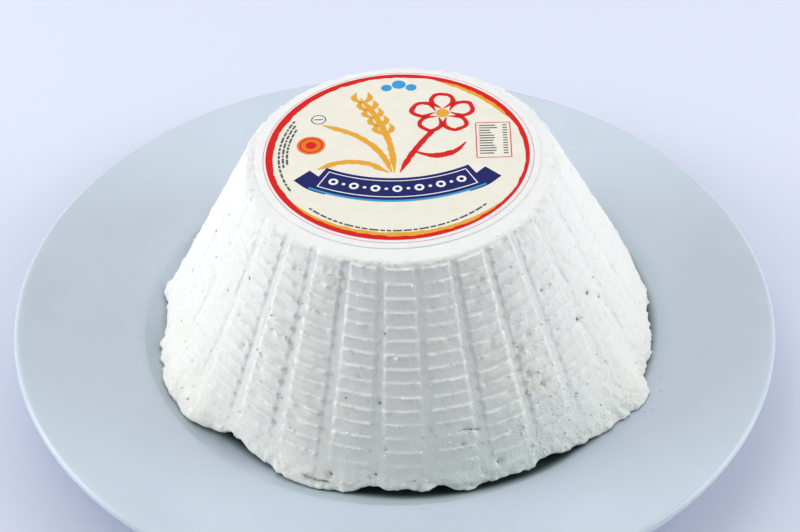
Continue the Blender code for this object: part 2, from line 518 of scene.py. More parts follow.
class Finish:
    """A material under construction: its nodes, its Principled shader and its coordinates."""

    def __init__(self, name: str, colour: Colour, roughness: float, effects: Effects) -> None:
        """Start a material.

        Args:
            name: Its name.
            colour: Base colour until something is joined to it.
            roughness: Roughness until something is joined to it.
            effects: The shared groups.
        """
        self.material = bpy.data.materials.new(name)
        self.material.use_nodes = True
        self.nodes = Nodes(self.material.node_tree)
        self.effects = effects
        self.shader = self.material.node_tree.nodes["Principled BSDF"]
        self.dress({"Base Color": (*colour, 1.0), "Roughness": roughness})
        self.place = self.nodes.add("TexCoord").outputs["Object"]

    def dress(self, inputs: dict[str, object]) -> None:
        """Feed inputs of the shader, by name."""
        for name, value in inputs.items():
            self.nodes.feed(self.shader.inputs[name], value)

    def group(self, tree: bpy.types.NodeTree, **values: float) -> Socket:
        """Place a shared group on Object coordinates and give its output."""
        inputs = {"Vector": self.place, **values}
        return self.nodes.add("Group", inputs, node_tree=tree).outputs[0]

    def grain(self, size: float, roughness: float = 0.6) -> Socket:
        """Fractal height with lumps of a size in metres."""
        return self.group(self.effects.grain, Size=size, Roughness=roughness)

    def specks(self, kind: Scatter) -> Socket:
        """Mask of scattered specks."""
        values = {"Spacing": kind.spacing, "Radius": kind.radius, "Share": kind.share}
        return self.group(self.effects.specks, **values)

    def mark(self, name: str) -> Socket:
        """A vertex mark of the piece."""
        return self.nodes.add("Attribute", attribute_name=name).outputs["Fac"]

    def colour(self, source: Socket) -> None:
        """Join a colour to the shader."""
        self.dress({"Base Color": source})

    def roughness(self, source: Socket, low: float, high: float) -> None:
        """Roughness from low to high as a mask goes from 0 to 1."""
        node = self.nodes.add("MapRange", {"Value": source, "To Min": low, "To Max": high})
        self.dress({"Roughness": node.outputs["Result"]})

    def bump(self, heights: Sequence[tuple[Socket, float]]) -> None:
        """Bump from several heights, each with its depth in metres, one after the other."""
        below = {}
        for height, depth in heights:
            inputs = {"Height": height, "Distance": abs(depth), **below}
            node = self.nodes.add("Bump", inputs, invert=depth < 0.0)
            below = {"Normal": node.outputs["Normal"]}
        self.dress(below)


# ------------------------ plate


@dataclass(frozen=True)
class GlazeFinish:
    """Pale blue-grey gloss glaze with a bare foot ring, painted highlight on the lip, painted
    shade next to the cheese and in the well, and a painted shadow under the cheese.

    Each share says how far a colour covers the glaze where its mask is 1.
    """

    colour: Colour = paint(202, 212, 225)
    # Painted highlight of the lip
    lip_highlight_colour: Colour = paint(207, 217, 229)
    bare_colour: Colour = paint(214, 206, 192)
    speck_colour: Colour = paint(128, 134, 140)
    # Painted shade next to the cheese and in the well
    painted_shade_colour: Colour = paint(172, 188, 192)
    # Painted shadow under the cheese
    painted_shadow_colour: Colour = paint(52, 72, 68)
    specks: Scatter = Scatter(14 * MM, 0.018, 0.35)
    patch_size: float = 40 * MM
    patch_shade: float = 0.965
    painted_shade_reach: float = 10 * MM
    painted_shade_share: float = 0.35
    well_shade_share: float = 0.5
    unshaded_core: float = 0.45
    painted_shadow_blur: float = 3 * MM
    painted_shadow_share: float = 0.9
    roughness: float = 0.26
    bare_roughness: float = 0.8
    ripple_size: float = 30.0 * MM
    ripple_depth: float = 0.12 * MM
    refraction: float = 1.5

    def build(self, effects: Effects, plate: "DinnerPlate") -> Material:
        """Make the material.

        Args:
            effects: The shared groups.
            plate: The plate, for the radii of its lip and well and where the cheese lies.

        Returns:
            The material.
        """
        finish = Finish("plate_glaze", self.colour, self.roughness, effects)
        nodes = finish.nodes
        height = nodes.part(finish.place, "Z")
        reach = nodes.reach(finish.place)
        from_cheese = nodes.reach(finish.place, plate.cheese_centre)
        # Painted highlight along the lip
        lip = nodes.step(reach, plate.rim_radius - 2.4 * MM, plate.rim_radius - 0.6 * MM)
        # The glaze ends a little over half way up the bevel of the foot ring
        bare_height = 0.6 * plate.foot_bevel
        bare = nodes.less(nodes.step(height, 0.3 * bare_height, bare_height))
        shoulder = plate.shoulder_radius
        # Painted shade in the well
        well_shade = nodes.less(nodes.step(reach, shoulder - 1.2 * MM, shoulder + 0.2 * MM))
        cheese = plate.cheese_radius
        # Painted shade on the glaze within a short reach of the cheese
        painted_shade = nodes.less(nodes.step(from_cheese, cheese, cheese + self.painted_shade_reach))
        # Painted shadow: a dark green-grey tone on the glaze under the cheese, seen past its torn foot
        from_shadow = nodes.reach(finish.place, plate.painted_shadow_centre)
        shadow_reach = plate.painted_shadow_radius
        deep = nodes.less(nodes.step(from_shadow, shadow_reach - self.painted_shadow_blur, shadow_reach + self.painted_shadow_blur))
        patches = nodes.step(finish.grain(self.patch_size, 0.5), 0.35, 0.7)
        shade = nodes.blend(patches, self.colour, darker(self.colour, self.patch_shade))
        shade = nodes.blend(lip, shade, self.lip_highlight_colour)
        shade = nodes.blend(finish.specks(self.specks), shade, self.speck_colour)
        # The painted shade next to the cheese and in the well is left off at these places
        for x, y, radius in plate.unshaded_places:
            shade_kept = nodes.step(nodes.reach(finish.place, (x, y)), self.unshaded_core * radius, radius)
            painted_shade = nodes.math("MULTIPLY", painted_shade, shade_kept)
            well_shade = nodes.math("MULTIPLY", well_shade, shade_kept)
        shade = nodes.blend(nodes.math("MULTIPLY", painted_shade, self.painted_shade_share), shade, self.painted_shade_colour)
        shade = nodes.blend(nodes.math("MULTIPLY", well_shade, self.well_shade_share), shade, self.painted_shade_colour)
        shade = nodes.blend(nodes.math("MULTIPLY", deep, self.painted_shadow_share), shade, self.painted_shadow_colour)
        finish.colour(nodes.blend(bare, shade, self.bare_colour))
        finish.roughness(bare, self.roughness, self.bare_roughness)
        finish.bump([(finish.grain(self.ripple_size, 0.4), self.ripple_depth)])
        finish.dress({"IOR": self.refraction})
        return finish.material


@dataclass(frozen=True)
class DinnerPlate:
    """Wide-rimmed plate turned about the Z axis.

    The painted shadow is a dark green-grey tone on the glaze under the cheese, which shows
    past its torn foot, and each unshaded place is the x, y and radius of a spot where the
    painted shade next to the cheese and in the well is left off.
    """

    rim_radius: float
    rim_height: float
    cheese_centre: tuple[float, float] = (4.9 * MM, 5.0 * MM)
    cheese_radius: float = 102.2 * MM
    # Middle and radius of the painted shadow under the cheese
    painted_shadow_centre: tuple[float, float] = (8.4 * MM, 1.5 * MM)
    painted_shadow_radius: float = 98.5 * MM
    # Spots where the painted shade is left off
    unshaded_places: tuple[tuple[float, float, float], ...] = (
        (-105.0 * MM, 35.0 * MM, 50.0 * MM),
        (-64.0 * MM, -86.0 * MM, 25.0 * MM),
    )
    lip_radius: float = 2.1 * MM
    shoulder_radius: float = 103.4 * MM
    shoulder_height: float = 13.9 * MM
    well_radius: float = 87.0 * MM
    well_height: float = 9.2 * MM
    well_curve: float = 1.6
    rim_curve: float = 1.05
    rim_thickness: float = 4.5 * MM
    floor_thickness: float = 4.8 * MM
    foot_outer_radius: float = 92.0 * MM
    foot_inner_radius: float = 89.0 * MM
    foot_bevel: float = 1.2 * MM
    segments: int = 360
    finish: GlazeFinish = GlazeFinish()

    @classmethod
    def from_frame(cls) -> "DinnerPlate":
        """The plate as wide and high as its CAD node."""
        low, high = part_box("plate")
        return cls(rim_radius=(high[0] - low[0]) / 2.0, rim_height=high[2])

    @property
    def rim_slope(self) -> float:
        """Slope angle of the rim where it runs into the lip, in radians."""
        rise = self.rim_height - self.shoulder_height
        return math.atan(self.rim_curve * rise / (self.rim_radius - self.shoulder_radius))

    @property
    def lip_start(self) -> float:
        """Radius at which the rim runs into the round of the lip."""
        return self.rim_radius - self.lip_radius * (1.0 + math.sin(self.rim_slope))

    @property
    def lip_start_height(self) -> float:
        """Height there."""
        return self.rim_height - self.lip_radius * (1.0 - math.cos(self.rim_slope))

    def glaze_height(self, radius: Array) -> Array:
        """Height of the upper surface at a radius.

        From the floor's edge it rises as a power of the way to the shoulder, and from the
        shoulder as another power of the way to where the lip rounds off.

        Args:
            radius: Distance from the plate's axis.

        Returns:
            The height at each.
        """
        well_width = self.shoulder_radius - self.well_radius
        well = np.clip((radius - self.well_radius) / well_width, 0.0, 1.0)
        rim_width = self.lip_start - self.shoulder_radius
        rim = np.clip((radius - self.shoulder_radius) / rim_width, 0.0, None)
        rise = (self.shoulder_height - self.well_height) * well**self.well_curve
        rim_rise = self.lip_start_height - self.shoulder_height
        return self.well_height + rise + rim_rise * rim**self.rim_curve

    def section(self) -> Array:
        """Half section as radius and height, from the middle of the floor over the lip to the foot.

        The lip's round ends a little past straight down, where the rim's underside starts.
        """
        well_rows, rim_rows, lip_rows, under_rows = 18, 16, 18, 14
        lip_end = math.radians(-96.0)
        underfloor = self.well_height - self.floor_thickness
        outer, inner, bevel = self.foot_outer_radius, self.foot_inner_radius, self.foot_bevel
        lip_centre = self.rim_radius - self.lip_radius
        top = np.concatenate(
            [
                [2 * MM, 30 * MM, 60 * MM, 80 * MM],
                np.linspace(self.well_radius, self.shoulder_radius, well_rows)[:-1],
                np.linspace(self.shoulder_radius, self.lip_start, rim_rows)[:-1],
            ]
        )
        angle = np.linspace(math.radians(90.0) + self.rim_slope, lip_end, lip_rows)
        lip = lip_centre + self.lip_radius * np.cos(angle)
        lip_height = self.rim_height - self.lip_radius * (1.0 - np.sin(angle))
        under = np.linspace(lip_centre - 2 * self.rim_thickness, outer + 5 * MM, under_rows)
        foot = np.array(
            [
                (outer + 1.6 * MM, underfloor + 0.6 * MM),
                (outer + bevel, 2 * bevel),
                (outer + 0.7 * bevel, 0.4 * bevel),
                (outer, 0.0),
                (inner, 0.0),
                (inner - 0.7 * bevel, 0.4 * bevel),
                (inner - bevel, 2 * bevel),
                (inner - 3 * bevel, underfloor),
                (0.5 * inner, underfloor),
                (2 * MM, underfloor),
            ]
        )
        return np.vstack(
            [
                np.stack([top, self.glaze_height(top)], -1),
                np.stack([lip, lip_height], -1),
                np.stack([under, self.glaze_height(under) - self.rim_thickness], -1),
                foot,
            ]
        )

    def build(self, effects: Effects) -> None:
        """Turn the half section once round Z and glaze it.

        Args:
            effects: The shared shader groups.
        """
        section = self.section()
        angle = np.linspace(0.0, math.tau, self.segments, endpoint=False)
        grid = round_about(section[:, :1], angle, section[:, 1:])
        material = self.finish.build(effects, self)
        make_piece("glazed_plate", tube(grid), material, Slot.GLAZE, "plate")


# ------------------------ curd


@dataclass(frozen=True)
class CurdFinish:
    """Moist white fresh curd: fine grained, slightly translucent, pitted where it is crumbly.

    Each share says how far a colour covers the curd where its mask is 1, and each band is
    the pair of values between which a mask goes from 0 to 1.
    """

    colour: Colour = (0.945, 0.935, 0.89)
    # Also the colour of the painted highlight on the ridges' crests
    fleck_colour: Colour = (0.97, 0.97, 0.95)
    # Painted shade in the holes, notches and lines above the ridges
    recess_shade_colour: Colour = (0.52, 0.53, 0.47)
    stain_colour: Colour = (0.40, 0.34, 0.22)
    # Painted shadow on the underside
    underside_shadow_colour: Colour = (0.05, 0.08, 0.07)
    # Darker and greener curd low on the front
    low_front_colour: Colour = (0.80, 0.86, 0.82)
    top_colour: Colour = (0.95, 0.94, 0.92)
    shaded: float = 0.93
    shaded_band: tuple[float, float] = (0.3, 0.62)
    roughness: float = 0.5
    fleck_roughness: float = 0.22
    tan_roughness: float = 0.7
    grain_size: float = 0.9 * MM
    grain_depth: float = 0.27 * MM
    lump_size: float = 2.6 * MM
    lump_depth: float = 0.9 * MM
    lumps_everywhere: float = 0.12
    lumps_where_crumbly: float = 0.85
    pinholes: Scatter = Scatter(4.6 * MM, 0.1, 0.15)
    pinhole_share: float = 0.4
    pits: Scatter = Scatter(2.6 * MM, 0.24, 0.2)
    pit_band: tuple[float, float] = (0.35, 1.0)
    hole_depth: float = 0.4 * MM
    hole_shade_share: float = 0.6
    recess_shade_share: float = 0.3
    flecks: Scatter = Scatter(1.6 * MM, 0.3, 0.4)
    fleck_band: tuple[float, float] = (0.2, 0.6)
    fleck_height: float = 0.4 * MM
    crest_highlight_share: float = 0.6
    scatter_share: float = 0.25
    scatter_radius: float = 1.3 * MM
    scatter_reach: Colour = (1.0, 0.9, 0.75)
    gloss: float = 0.4

    def build(self, effects: Effects) -> Material:
        """Make the material from the shared groups and the curd's own marks.

        Args:
            effects: The shared groups.

        Returns:
            The material.
        """
        finish = Finish("fresh_curd", self.colour, self.roughness, effects)
        nodes = finish.nodes
        crumbly = finish.mark("crumbly")
        grain = finish.grain(self.grain_size)
        lumpy = nodes.math("MULTIPLY_ADD", crumbly, self.lumps_where_crumbly, self.lumps_everywhere)
        lumps = nodes.math("MULTIPLY", finish.grain(self.lump_size, 0.7), lumpy)
        pinholes = nodes.math("MULTIPLY", finish.specks(self.pinholes), self.pinhole_share)
        pits = nodes.math("MULTIPLY", finish.specks(self.pits), nodes.step(crumbly, *self.pit_band))
        holes = nodes.math("MAXIMUM", pinholes, pits)
        flecky = nodes.step(nodes.math("MAXIMUM", crumbly, finish.mark("crest")), *self.fleck_band)
        flecks = nodes.math("MULTIPLY", finish.specks(self.flecks), flecky)
        lit = nodes.step(grain, *self.shaded_band)
        shade = nodes.blend(lit, darker(self.colour, self.shaded), self.colour)
        # Darker and greener low on the front
        shade = nodes.blend(finish.mark("low_front_tint"), shade, self.low_front_colour)
        shade = nodes.blend(finish.mark("top"), shade, self.top_colour)
        # Painted highlight: the ridges' crests whiten toward the fleck colour
        crest = nodes.math("MULTIPLY", finish.mark("crest"), self.crest_highlight_share)
        shade = nodes.blend(nodes.math("MAXIMUM", flecks, crest), shade, self.fleck_colour)
        # Painted shade in the pinholes and pits
        shade = nodes.blend(nodes.math("MULTIPLY", holes, self.hole_shade_share), shade, self.recess_shade_colour)
        # Painted shade in the hollows, the notches and the line above each ridge
        hollow = nodes.math("MULTIPLY", finish.mark("hollow"), self.recess_shade_share)
        shade = nodes.blend(hollow, shade, self.recess_shade_colour)
        # Painted shadow: the underside turns near black
        shade = nodes.blend(finish.mark("under"), shade, self.underside_shadow_colour)
        finish.colour(shade)
        finish.roughness(grain, self.roughness - 0.1, self.roughness + 0.2)
        finish.bump(
            [
                (lumps, self.lump_depth),
                (grain, self.grain_depth),
                (flecks, self.fleck_height),
                (holes, -self.hole_depth),
            ]
        )
        self.let_light_in(finish, 1.0, 1.0)
        finish.dress({"Specular IOR Level": self.gloss})
        return finish.material

    def let_light_in(self, finish: Finish, share: float, reach: float) -> None:
        """Scatter light under the surface, as a share of how much and how far the skin does."""
        finish.dress(
            {
                "Subsurface Weight": share * self.scatter_share,
                "Subsurface Radius": self.scatter_reach,
                "Subsurface Scale": reach * self.scatter_radius,
            }
        )

    def build_fleck(self, effects: Effects) -> Material:
        """Make the finish of loose crumbs and flecks: whiter and wetter than the skin.

        Args:
            effects: The shared groups.

        Returns:
            The material.
        """
        finish = Finish("loose_curd", self.fleck_colour, self.fleck_roughness, effects)
        finish.bump([(finish.grain(self.grain_size), self.grain_depth)])
        self.let_light_in(finish, 0.8, 0.5)
        return finish.material

    def build_tan(self, effects: Effects) -> Material:
        """Make the finish of the stained spots: matt, tan, darker in patches.

        Args:
            effects: The shared groups.

        Returns:
            The material.
        """
        finish = Finish("tan_curd", self.stain_colour, self.tan_roughness, effects)
        uneven = finish.nodes.step(finish.grain(self.grain_size), 0.35, 0.65)
        spots = darker(self.stain_colour, 0.7)
        finish.colour(finish.nodes.blend(uneven, spots, self.stain_colour))
        return finish.material


@dataclass(frozen=True)
class Mark:
    """A hollow or lump on the side: azimuth in degrees, climb, radius and height (minus is deep).

    Stain, from 0 to 1, is how much tan matter lies in a hollow.
    """

    azimuth: float
    climb: float
    radius: float
    height: float
    stain: float = 0.0


@dataclass(frozen=True)
class EdgeWave:
    """A stretch of the foot: middle and half width in degrees, and how far it is torn or spread."""

    azimuth: float
    amount: float
    half_width: float


def marks_of(*rows: tuple[float, ...]) -> tuple[Mark, ...]:
    """Marks from rows of azimuth, climb, radius and height in millimetres, and any stain."""
    return tuple(Mark(a, c, radius * MM, height * MM, *stain) for a, c, radius, height, *stain in rows)


def waves_of(*rows: tuple[float, float, float]) -> tuple[EdgeWave, ...]:
    """Stretches of the foot from rows of azimuth, amount in millimetres and half width."""
    return tuple(EdgeWave(azimuth, amount * MM, half_width) for azimuth, amount, half_width in rows)


# Where the foot is torn away, so that its edge hangs above the plate
TORN_EDGES = waves_of(
    (-90, 1.5, 6), (-41, 4.2, 7), (-8, 3.0, 3), (0, 2.2, 5),
    (7.5, 3.0, 2.5), (22, 1.5, 5), (32, 3.2, 5), (86, 1.2, 6),
    (104, 1.5, 7), (128, 2.5, 9), (205, 3.0, 7), (242, 2.0, 8),
)
# Where the foot is pressed outwards, or drawn in where the amount is minus
SPREAD_EDGES = waves_of(
    (-98, 3.0, 3), (-88, -1.5, 5), (-77, 2.5, 4), (-63.8, 11.6, 8),
    (-54, 8.0, 5), (-23, 3.6, 7), (47, 2.8, 5), (54, 2.5, 4),
    (60.5, 9.0, 5.5), (88, -2.2, 7), (104, -3.0, 7), (150, 2.5, 10),
    (178, 3.0, 8), (222, 2.5, 9),
)
# Lumps and holes that stand out one by one, those with a stain being tan at the bottom
OWN_MARKS = marks_of(
    (-97, 0.03, 4.0, 1.6), (-80, 0.03, 3.0, 1.0), (-60, 0.05, 1.6, -1.2, 0.7),
    (-72, 0.07, 1.2, -0.9), (-16.8, 0.072, 1.3, -1.2, 1.0), (-2.0, 0.60, 1.1, 0.5),
    (22.0, 0.58, 1.3, 0.6), (21.0, 0.09, 1.5, -1.3, 1.0), (12.0, 0.24, 4.2, 0.35),
    (33.0, 0.528, 1.3, -1.3, 1.0), (33.2, 0.415, 1.4, -1.3, 1.0), (36.5, 0.34, 1.4, -0.8, 0.35),
    (54.8, 0.478, 1.5, -0.9, 0.6), (62.7, 0.522, 1.3, -0.8, 0.6), (67, 0.45, 1.2, -0.8, 0.4),
    (46, 0.70, 1.0, -0.6, 0.3), (13.2, 0.21, 1.3, -0.9, 0.7), (-6.2, 0.41, 1.1, -0.6, 0.6),
    (-5.0, 0.71, 0.9, -0.5, 0.4), (-6.7, 0.095, 0.9, -0.6, 0.5), (9.3, 0.81, 0.9, -0.6, 0.3),
    (-32, 0.56, 1.1, -0.6, 0.5), (-48, 0.45, 1.5, -0.8, 0.5), (-54.5, 0.72, 1.1, -0.8, 0.5),
    (5, 0.02, 2.0, 1.2), (150, 0.45, 1.5, -1.0, 0.6), (201, 0.62, 1.3, -0.9, 0.5),
    (168, 0.18, 1.6, -1.1, 0.4),
)
# Two thin cracks, each a row of small hollows: one close to the foot and one across two panels
CRACKS = (
    *(Mark(-22.4 + 0.42 * step, 0.054 - 0.001 * step, 0.6 * MM, -0.9 * MM, 0.9) for step in range(13)),
    *(Mark(12.6 + 0.55 * step, 0.272 - 0.0022 * step, 0.6 * MM, -0.7 * MM, 0.6) for step in range(10)),
)
# Places where the skin of the curd has come away and its crumbly inside shows
CRUMBLY_PATCHES = marks_of(
    (-22.5, 0.88, 6.5, 0.55), (-2.0, 0.60, 3.5, 0.7), (-38, 0.62, 3.5, 0.5), (21, 0.58, 5.0, 0.55),
    (40, 0.22, 7.0, 0.7), (-44, 0.60, 4.0, 0.5), (-42.5, 0.46, 2.5, 0.7), (-35, 0.41, 2.5, 0.7),
    (-31, 0.73, 2.5, 0.6), (-15, 0.60, 1.8, 0.7), (-15, 0.34, 1.8, 0.7), (-11.5, 0.28, 1.6, 0.7),
    (34, 0.50, 2.0, 0.8), (54, 0.49, 2.5, 0.7), (26, 0.20, 6.0, 0.5), (34, 0.12, 7.0, 0.6),
    (36, 0.36, 5.0, 0.6), (14, 0.24, 5.0, 0.45), (-66, 0.04, 12.0, 0.9), (70, 0.06, 10.0, 0.7),
    (128, 0.30, 9.0, 0.7), (190, 0.80, 7.0, 0.8), (245, 0.20, 8.0, 0.7),
)


def along_edge(azimuth: Array, waves: Sequence[EdgeWave]) -> Array:
    """Total of the waves round the foot, each a rounded bump of its azimuth offset."""
    return sum(w.amount * bell(turn_between(azimuth, w.azimuth) / w.half_width) for w in waves)


@dataclass(frozen=True)
class MouldedCurd:
    """Cone of curd with the flutes and slots of its basket pressed into the side.

    The side is a cone frustum in axes that lean a little. Climb is 0 at its base circle and
    1 at the flat top, and every mark of the basket stands out or in along the cone's normal.
    Widths of a flute and its columns are in degrees, and what a ridge or row is above or
    below is a way along the side.
    """

    plate: DinnerPlate
    label_centre: tuple[float, float, float]
    label_radius: float
    contact_gap: float = 0.4 * MM
    base_centre: tuple[float, float, float] = (4.9 * MM, 5.0 * MM, 12.7 * MM)
    lean: tuple[float, float, float] = (0.007, -0.031, 0.0)
    base_radius: float = 102.2 * MM
    top_radius: float = 60.6 * MM
    height: float = 81.6 * MM
    corner_radius: float = 2.4 * MM
    staves: int = 29
    first_stave: float = 5.7
    stave_half_width: float = 1.95
    stave_half_floor: float = 0.7
    stave_depth: float = 0.235 * MM
    stave_waver: float = 0.22
    lip_height: float = 0.02 * MM
    crown_height: float = 0.12 * MM
    flute_columns: tuple[float, ...] = (0.3, 0.7, 1.02, 1.33, 1.63, 1.93, 2.25)
    panel_margin: float = 2.75
    panel_columns: int = 12
    ridge_count: int = 17
    first_ridge: float = 0.970
    ridge_pitch: float = 0.0598
    ring_tilt: float = 1.5 * MM
    ring_bow: float = 6.7 * MM
    ridge_height: float = 0.46 * MM
    ridge_above: float = 0.5 * MM
    ridge_below: float = 1.25 * MM
    crest_height: float = 0.34 * MM
    ridge_rows: tuple[float, ...] = (1.2, 0.66, 0.3, -0.05, -0.9, -2.5)
    foot_rows: tuple[float, ...] = (1.1, 0.6, 0.22, 0.0)
    top_rows: tuple[float, ...] = (20.0, 42.0, 50.5, 52.5, 54.0, 55.3, 56.5, 57.6, 58.5)
    corner_rows: int = 6
    under_rows: tuple[float, ...] = (0.5, 1.4, 3.0, 5.2, 7.5, 14.0, 40.0)
    notch_depth: float = 0.8 * MM
    spread_reach: float = 9.0 * MM
    undercut: float = 9.0 * MM
    foot_turn: float = 1.2 * MM
    pinhole_count: int = 120
    finish: CurdFinish = CurdFinish()

    @property
    def slant(self) -> float:
        """Length of the side from base to top."""
        return math.hypot(self.height, self.base_radius - self.top_radius)

    @property
    def slope(self) -> float:
        """Angle of the side's normal above the level, in radians."""
        return math.atan2(self.base_radius - self.top_radius, self.height)

    def place(self, radius: Array, azimuth: Array, height: Array) -> Array:
        """World points of radius, azimuth and height in the leaning axes."""
        local = round_about(radius, np.radians(azimuth), height)
        return local @ turn_matrix(self.lean).T + np.array(self.base_centre)

    def side_radius(self, azimuth: Array, climb: Array) -> Array:
        """Radius of the cone at a climb, plus the spread foot, which fades exponentially upwards."""
        fade = np.exp(-np.maximum(0.0, climb * self.slant / self.spread_reach))
        cone = self.base_radius + (self.top_radius - self.base_radius) * climb
        return cone + along_edge(azimuth, SPREAD_EDGES) * fade

    def side(self, azimuth: Array, climb: Array, proud: Array | float = 0.0) -> Array:
        """World points of the side, standing proud along the normal, with the spread foot."""
        out = np.asarray(proud)
        radius = self.side_radius(azimuth, climb) + out * math.cos(self.slope)
        return self.place(radius, azimuth, self.height * climb + out * math.sin(self.slope))

    def seat(self, points: Array) -> Array:
        """Height at which curd lies on the plate under or over each point."""
        return self.plate.glaze_height(np.hypot(points[..., 0], points[..., 1])) + self.contact_gap

    # Columns and rows of the grid

    def stave_numbers(self, spread: float, seed: int) -> Array:
        """One random number per stave, from 1 - spread to 1 + spread."""
        return np.random.default_rng(seed).uniform(1.0 - spread, 1.0 + spread, self.staves)

    def stave_centres(self) -> Array:
        """Azimuth of each stave, a little off its even place."""
        even = self.first_stave + np.arange(self.staves) * 360.0 / self.staves
        return even + self.stave_waver * (self.stave_numbers(1.0, Seed.STAVE_PLACES) - 1.0)

    def nearest_stave(self, azimuth: Array) -> tuple[Array, Array]:
        """Number of the stave nearest to each azimuth, and how far round from it that is."""
        centres = self.stave_centres()
        nearest = np.abs(turn_between(azimuth[..., None], centres)).argmin(-1)
        return nearest, turn_between(azimuth, centres[nearest])

    def columns(self) -> Array:
        """Azimuths of the grid's columns: close together at the flutes' edges, wider on the panels."""
        edge = np.array(self.flute_columns)
        pitch = 360.0 / self.staves
        inner = np.linspace(self.panel_margin, pitch - self.panel_margin, self.panel_columns)
        offsets = np.concatenate([edge, inner, pitch - edge[::-1]])
        centres = self.stave_centres()
        following = np.append(centres[1:], centres[0] + 360.0)
        gap = (following - centres) / pitch
        return (centres[:, None] + offsets * gap[:, None]).ravel()

    def ridge_line(self, ridge: int, azimuth: Array) -> Array:
        """Climb of one ridge round the cheese.

        Its even place, plus the bow and tilt of the basket's rings, as the square of the
        azimuth's sine and the sine itself, plus a waver of a fraction of a millimetre. The
        noise is read on a circle of its own for each ridge.

        Args:
            ridge: Number of the ridge, from the top.
            azimuth: Azimuths to give it at.

        Returns:
            Its climb at each.
        """
        ring = self.place(np.array(80 * MM), azimuth, np.array(ridge * 31 * MM))
        waver = 0.35 * MM * noise(ring, 14 * MM, Seed.RING_WAVER)
        waver = waver + 0.12 * MM * noise(ring, 3 * MM, Seed.RING_SHIVER)
        aside = np.sin(np.radians(azimuth))
        tilt = self.ring_bow * aside**2 - self.ring_tilt * aside
        return self.first_ridge - self.ridge_pitch * ridge + (waver + tilt) / self.slant

    def foot_line(self, azimuth: Array) -> Array:
        """Climb of the foot: where the side meets the plate, by bisection, plus tears and raggedness.

        Where the curd spreads it is pressed onto the plate, so it is less ragged there.

        Args:
            azimuth: Azimuths to give it at.

        Returns:
            Its climb at each.
        """
        halvings = 24
        low = np.full_like(azimuth, -0.2)
        high = np.full_like(azimuth, 0.3)
        for _ in range(halvings):
            middle = (low + high) / 2.0
            points = self.side(azimuth, middle)
            above = points[:, 2] > self.seat(points)
            high = np.where(above, middle, high)
            low = np.where(above, low, middle)
        torn = along_edge(azimuth, TORN_EDGES)
        ring = self.place(np.array(100 * MM), azimuth, np.array(0.0))
        ragged = 1.6 * MM * np.maximum(0.0, cloud(ring, 6 * MM, Seed.FOOT_TEARS, 3))
        ragged = ragged + 0.4 * torn * noise(ring, 4 * MM, Seed.TEAR_EDGES)
        ragged = ragged + 1.1 * MM * np.abs(noise(ring, 3.2 * MM, Seed.FOOT_FRAYS))
        pressed = 1.0 - 0.6 * ramp(1.0 * MM, 6.0 * MM, along_edge(azimuth, SPREAD_EDGES))
        return high + (torn + ragged * pressed) / self.slant

    def side_climbs(self, azimuth: Array, foot: Array) -> Array:
        """Climb of every side row: some about each ridge, then a few that round off the foot.

        Below a climb of 0.16 the rows are squeezed together so that the last one stays just
        above the foot, and above 0.84 so that the first stays just above the first ridge.

        Args:
            azimuth: Azimuth of each column.
            foot: Climb of the foot in each column.

        Returns:
            Climbs, rows by columns, from the top down.
        """
        around = np.array(self.ridge_rows) * MM / self.slant
        lines = np.stack([self.ridge_line(k, azimuth) for k in range(self.ridge_count)])
        rows = (lines[:, None, :] + around[None, :, None]).reshape(-1, len(azimuth))
        bend, last = 0.16, rows[-1]
        target = foot + 1.7 * MM / self.slant
        squeezed = bend - (bend - rows) * (bend - target) / (bend - last)
        rows = np.where(rows < bend, squeezed, rows)
        high_bend, top = 0.84, self.first_ridge + 1.2 * MM / self.slant
        lowered = high_bend + (rows - high_bend) * (top - high_bend) / (rows[0] - high_bend)
        rows = np.where(rows > high_bend, np.minimum(rows, lowered), rows)
        rounding = foot + np.array(self.foot_rows)[:, None] * MM / self.slant
        return np.vstack([rows, rounding])

    # Relief of the side

    def flutes(self, azimuth: Array, climb: Array, points: Array) -> tuple[Array, Array]:
        """Depth of the flutes and a mask of the panels between them.

        A flute is flat floored, with smooth steps for walls. Its depth and width differ a
        little from stave to stave, and it runs out towards the foot. Each panel has a thin
        raised lip along both its edges and is slightly crowned between them.

        Args:
            azimuth: Azimuth of each grid point.
            climb: Climb of each grid point.
            points: The plain surface, for the noise.

        Returns:
            Height to add, and the mask that is 1 on the panels.
        """
        nearest, aside = self.nearest_stave(azimuth)
        offset = np.abs(aside)
        edge = self.stave_half_width * self.stave_numbers(0.08, Seed.STAVE_WIDTHS)[nearest]
        edge = edge + 0.07 * noise(points, 6 * MM, Seed.FLUTE_EDGES)
        floor = edge - (self.stave_half_width - self.stave_half_floor)
        panel = ramp(0.0, 1.0, (offset - floor) / (edge - floor))
        depth = self.stave_depth * self.stave_numbers(0.3, Seed.STAVE_DEPTHS)[nearest]
        depth = depth * (0.12 + 0.88 * ramp(0.02, 0.3, climb))
        depth = depth * (1.0 + 0.35 * noise(points, 9 * MM, Seed.FLUTE_FLOORS))
        lip = self.lip_height * bell((offset - edge - 0.1) / 0.3)
        lip = lip * (1.0 + 1.8 * noise(points, 3 * MM, Seed.LIPS))
        crown = self.crown_height * ramp(0.0, 3.5, offset - edge)
        return lip + crown - depth * (1.0 - panel), panel

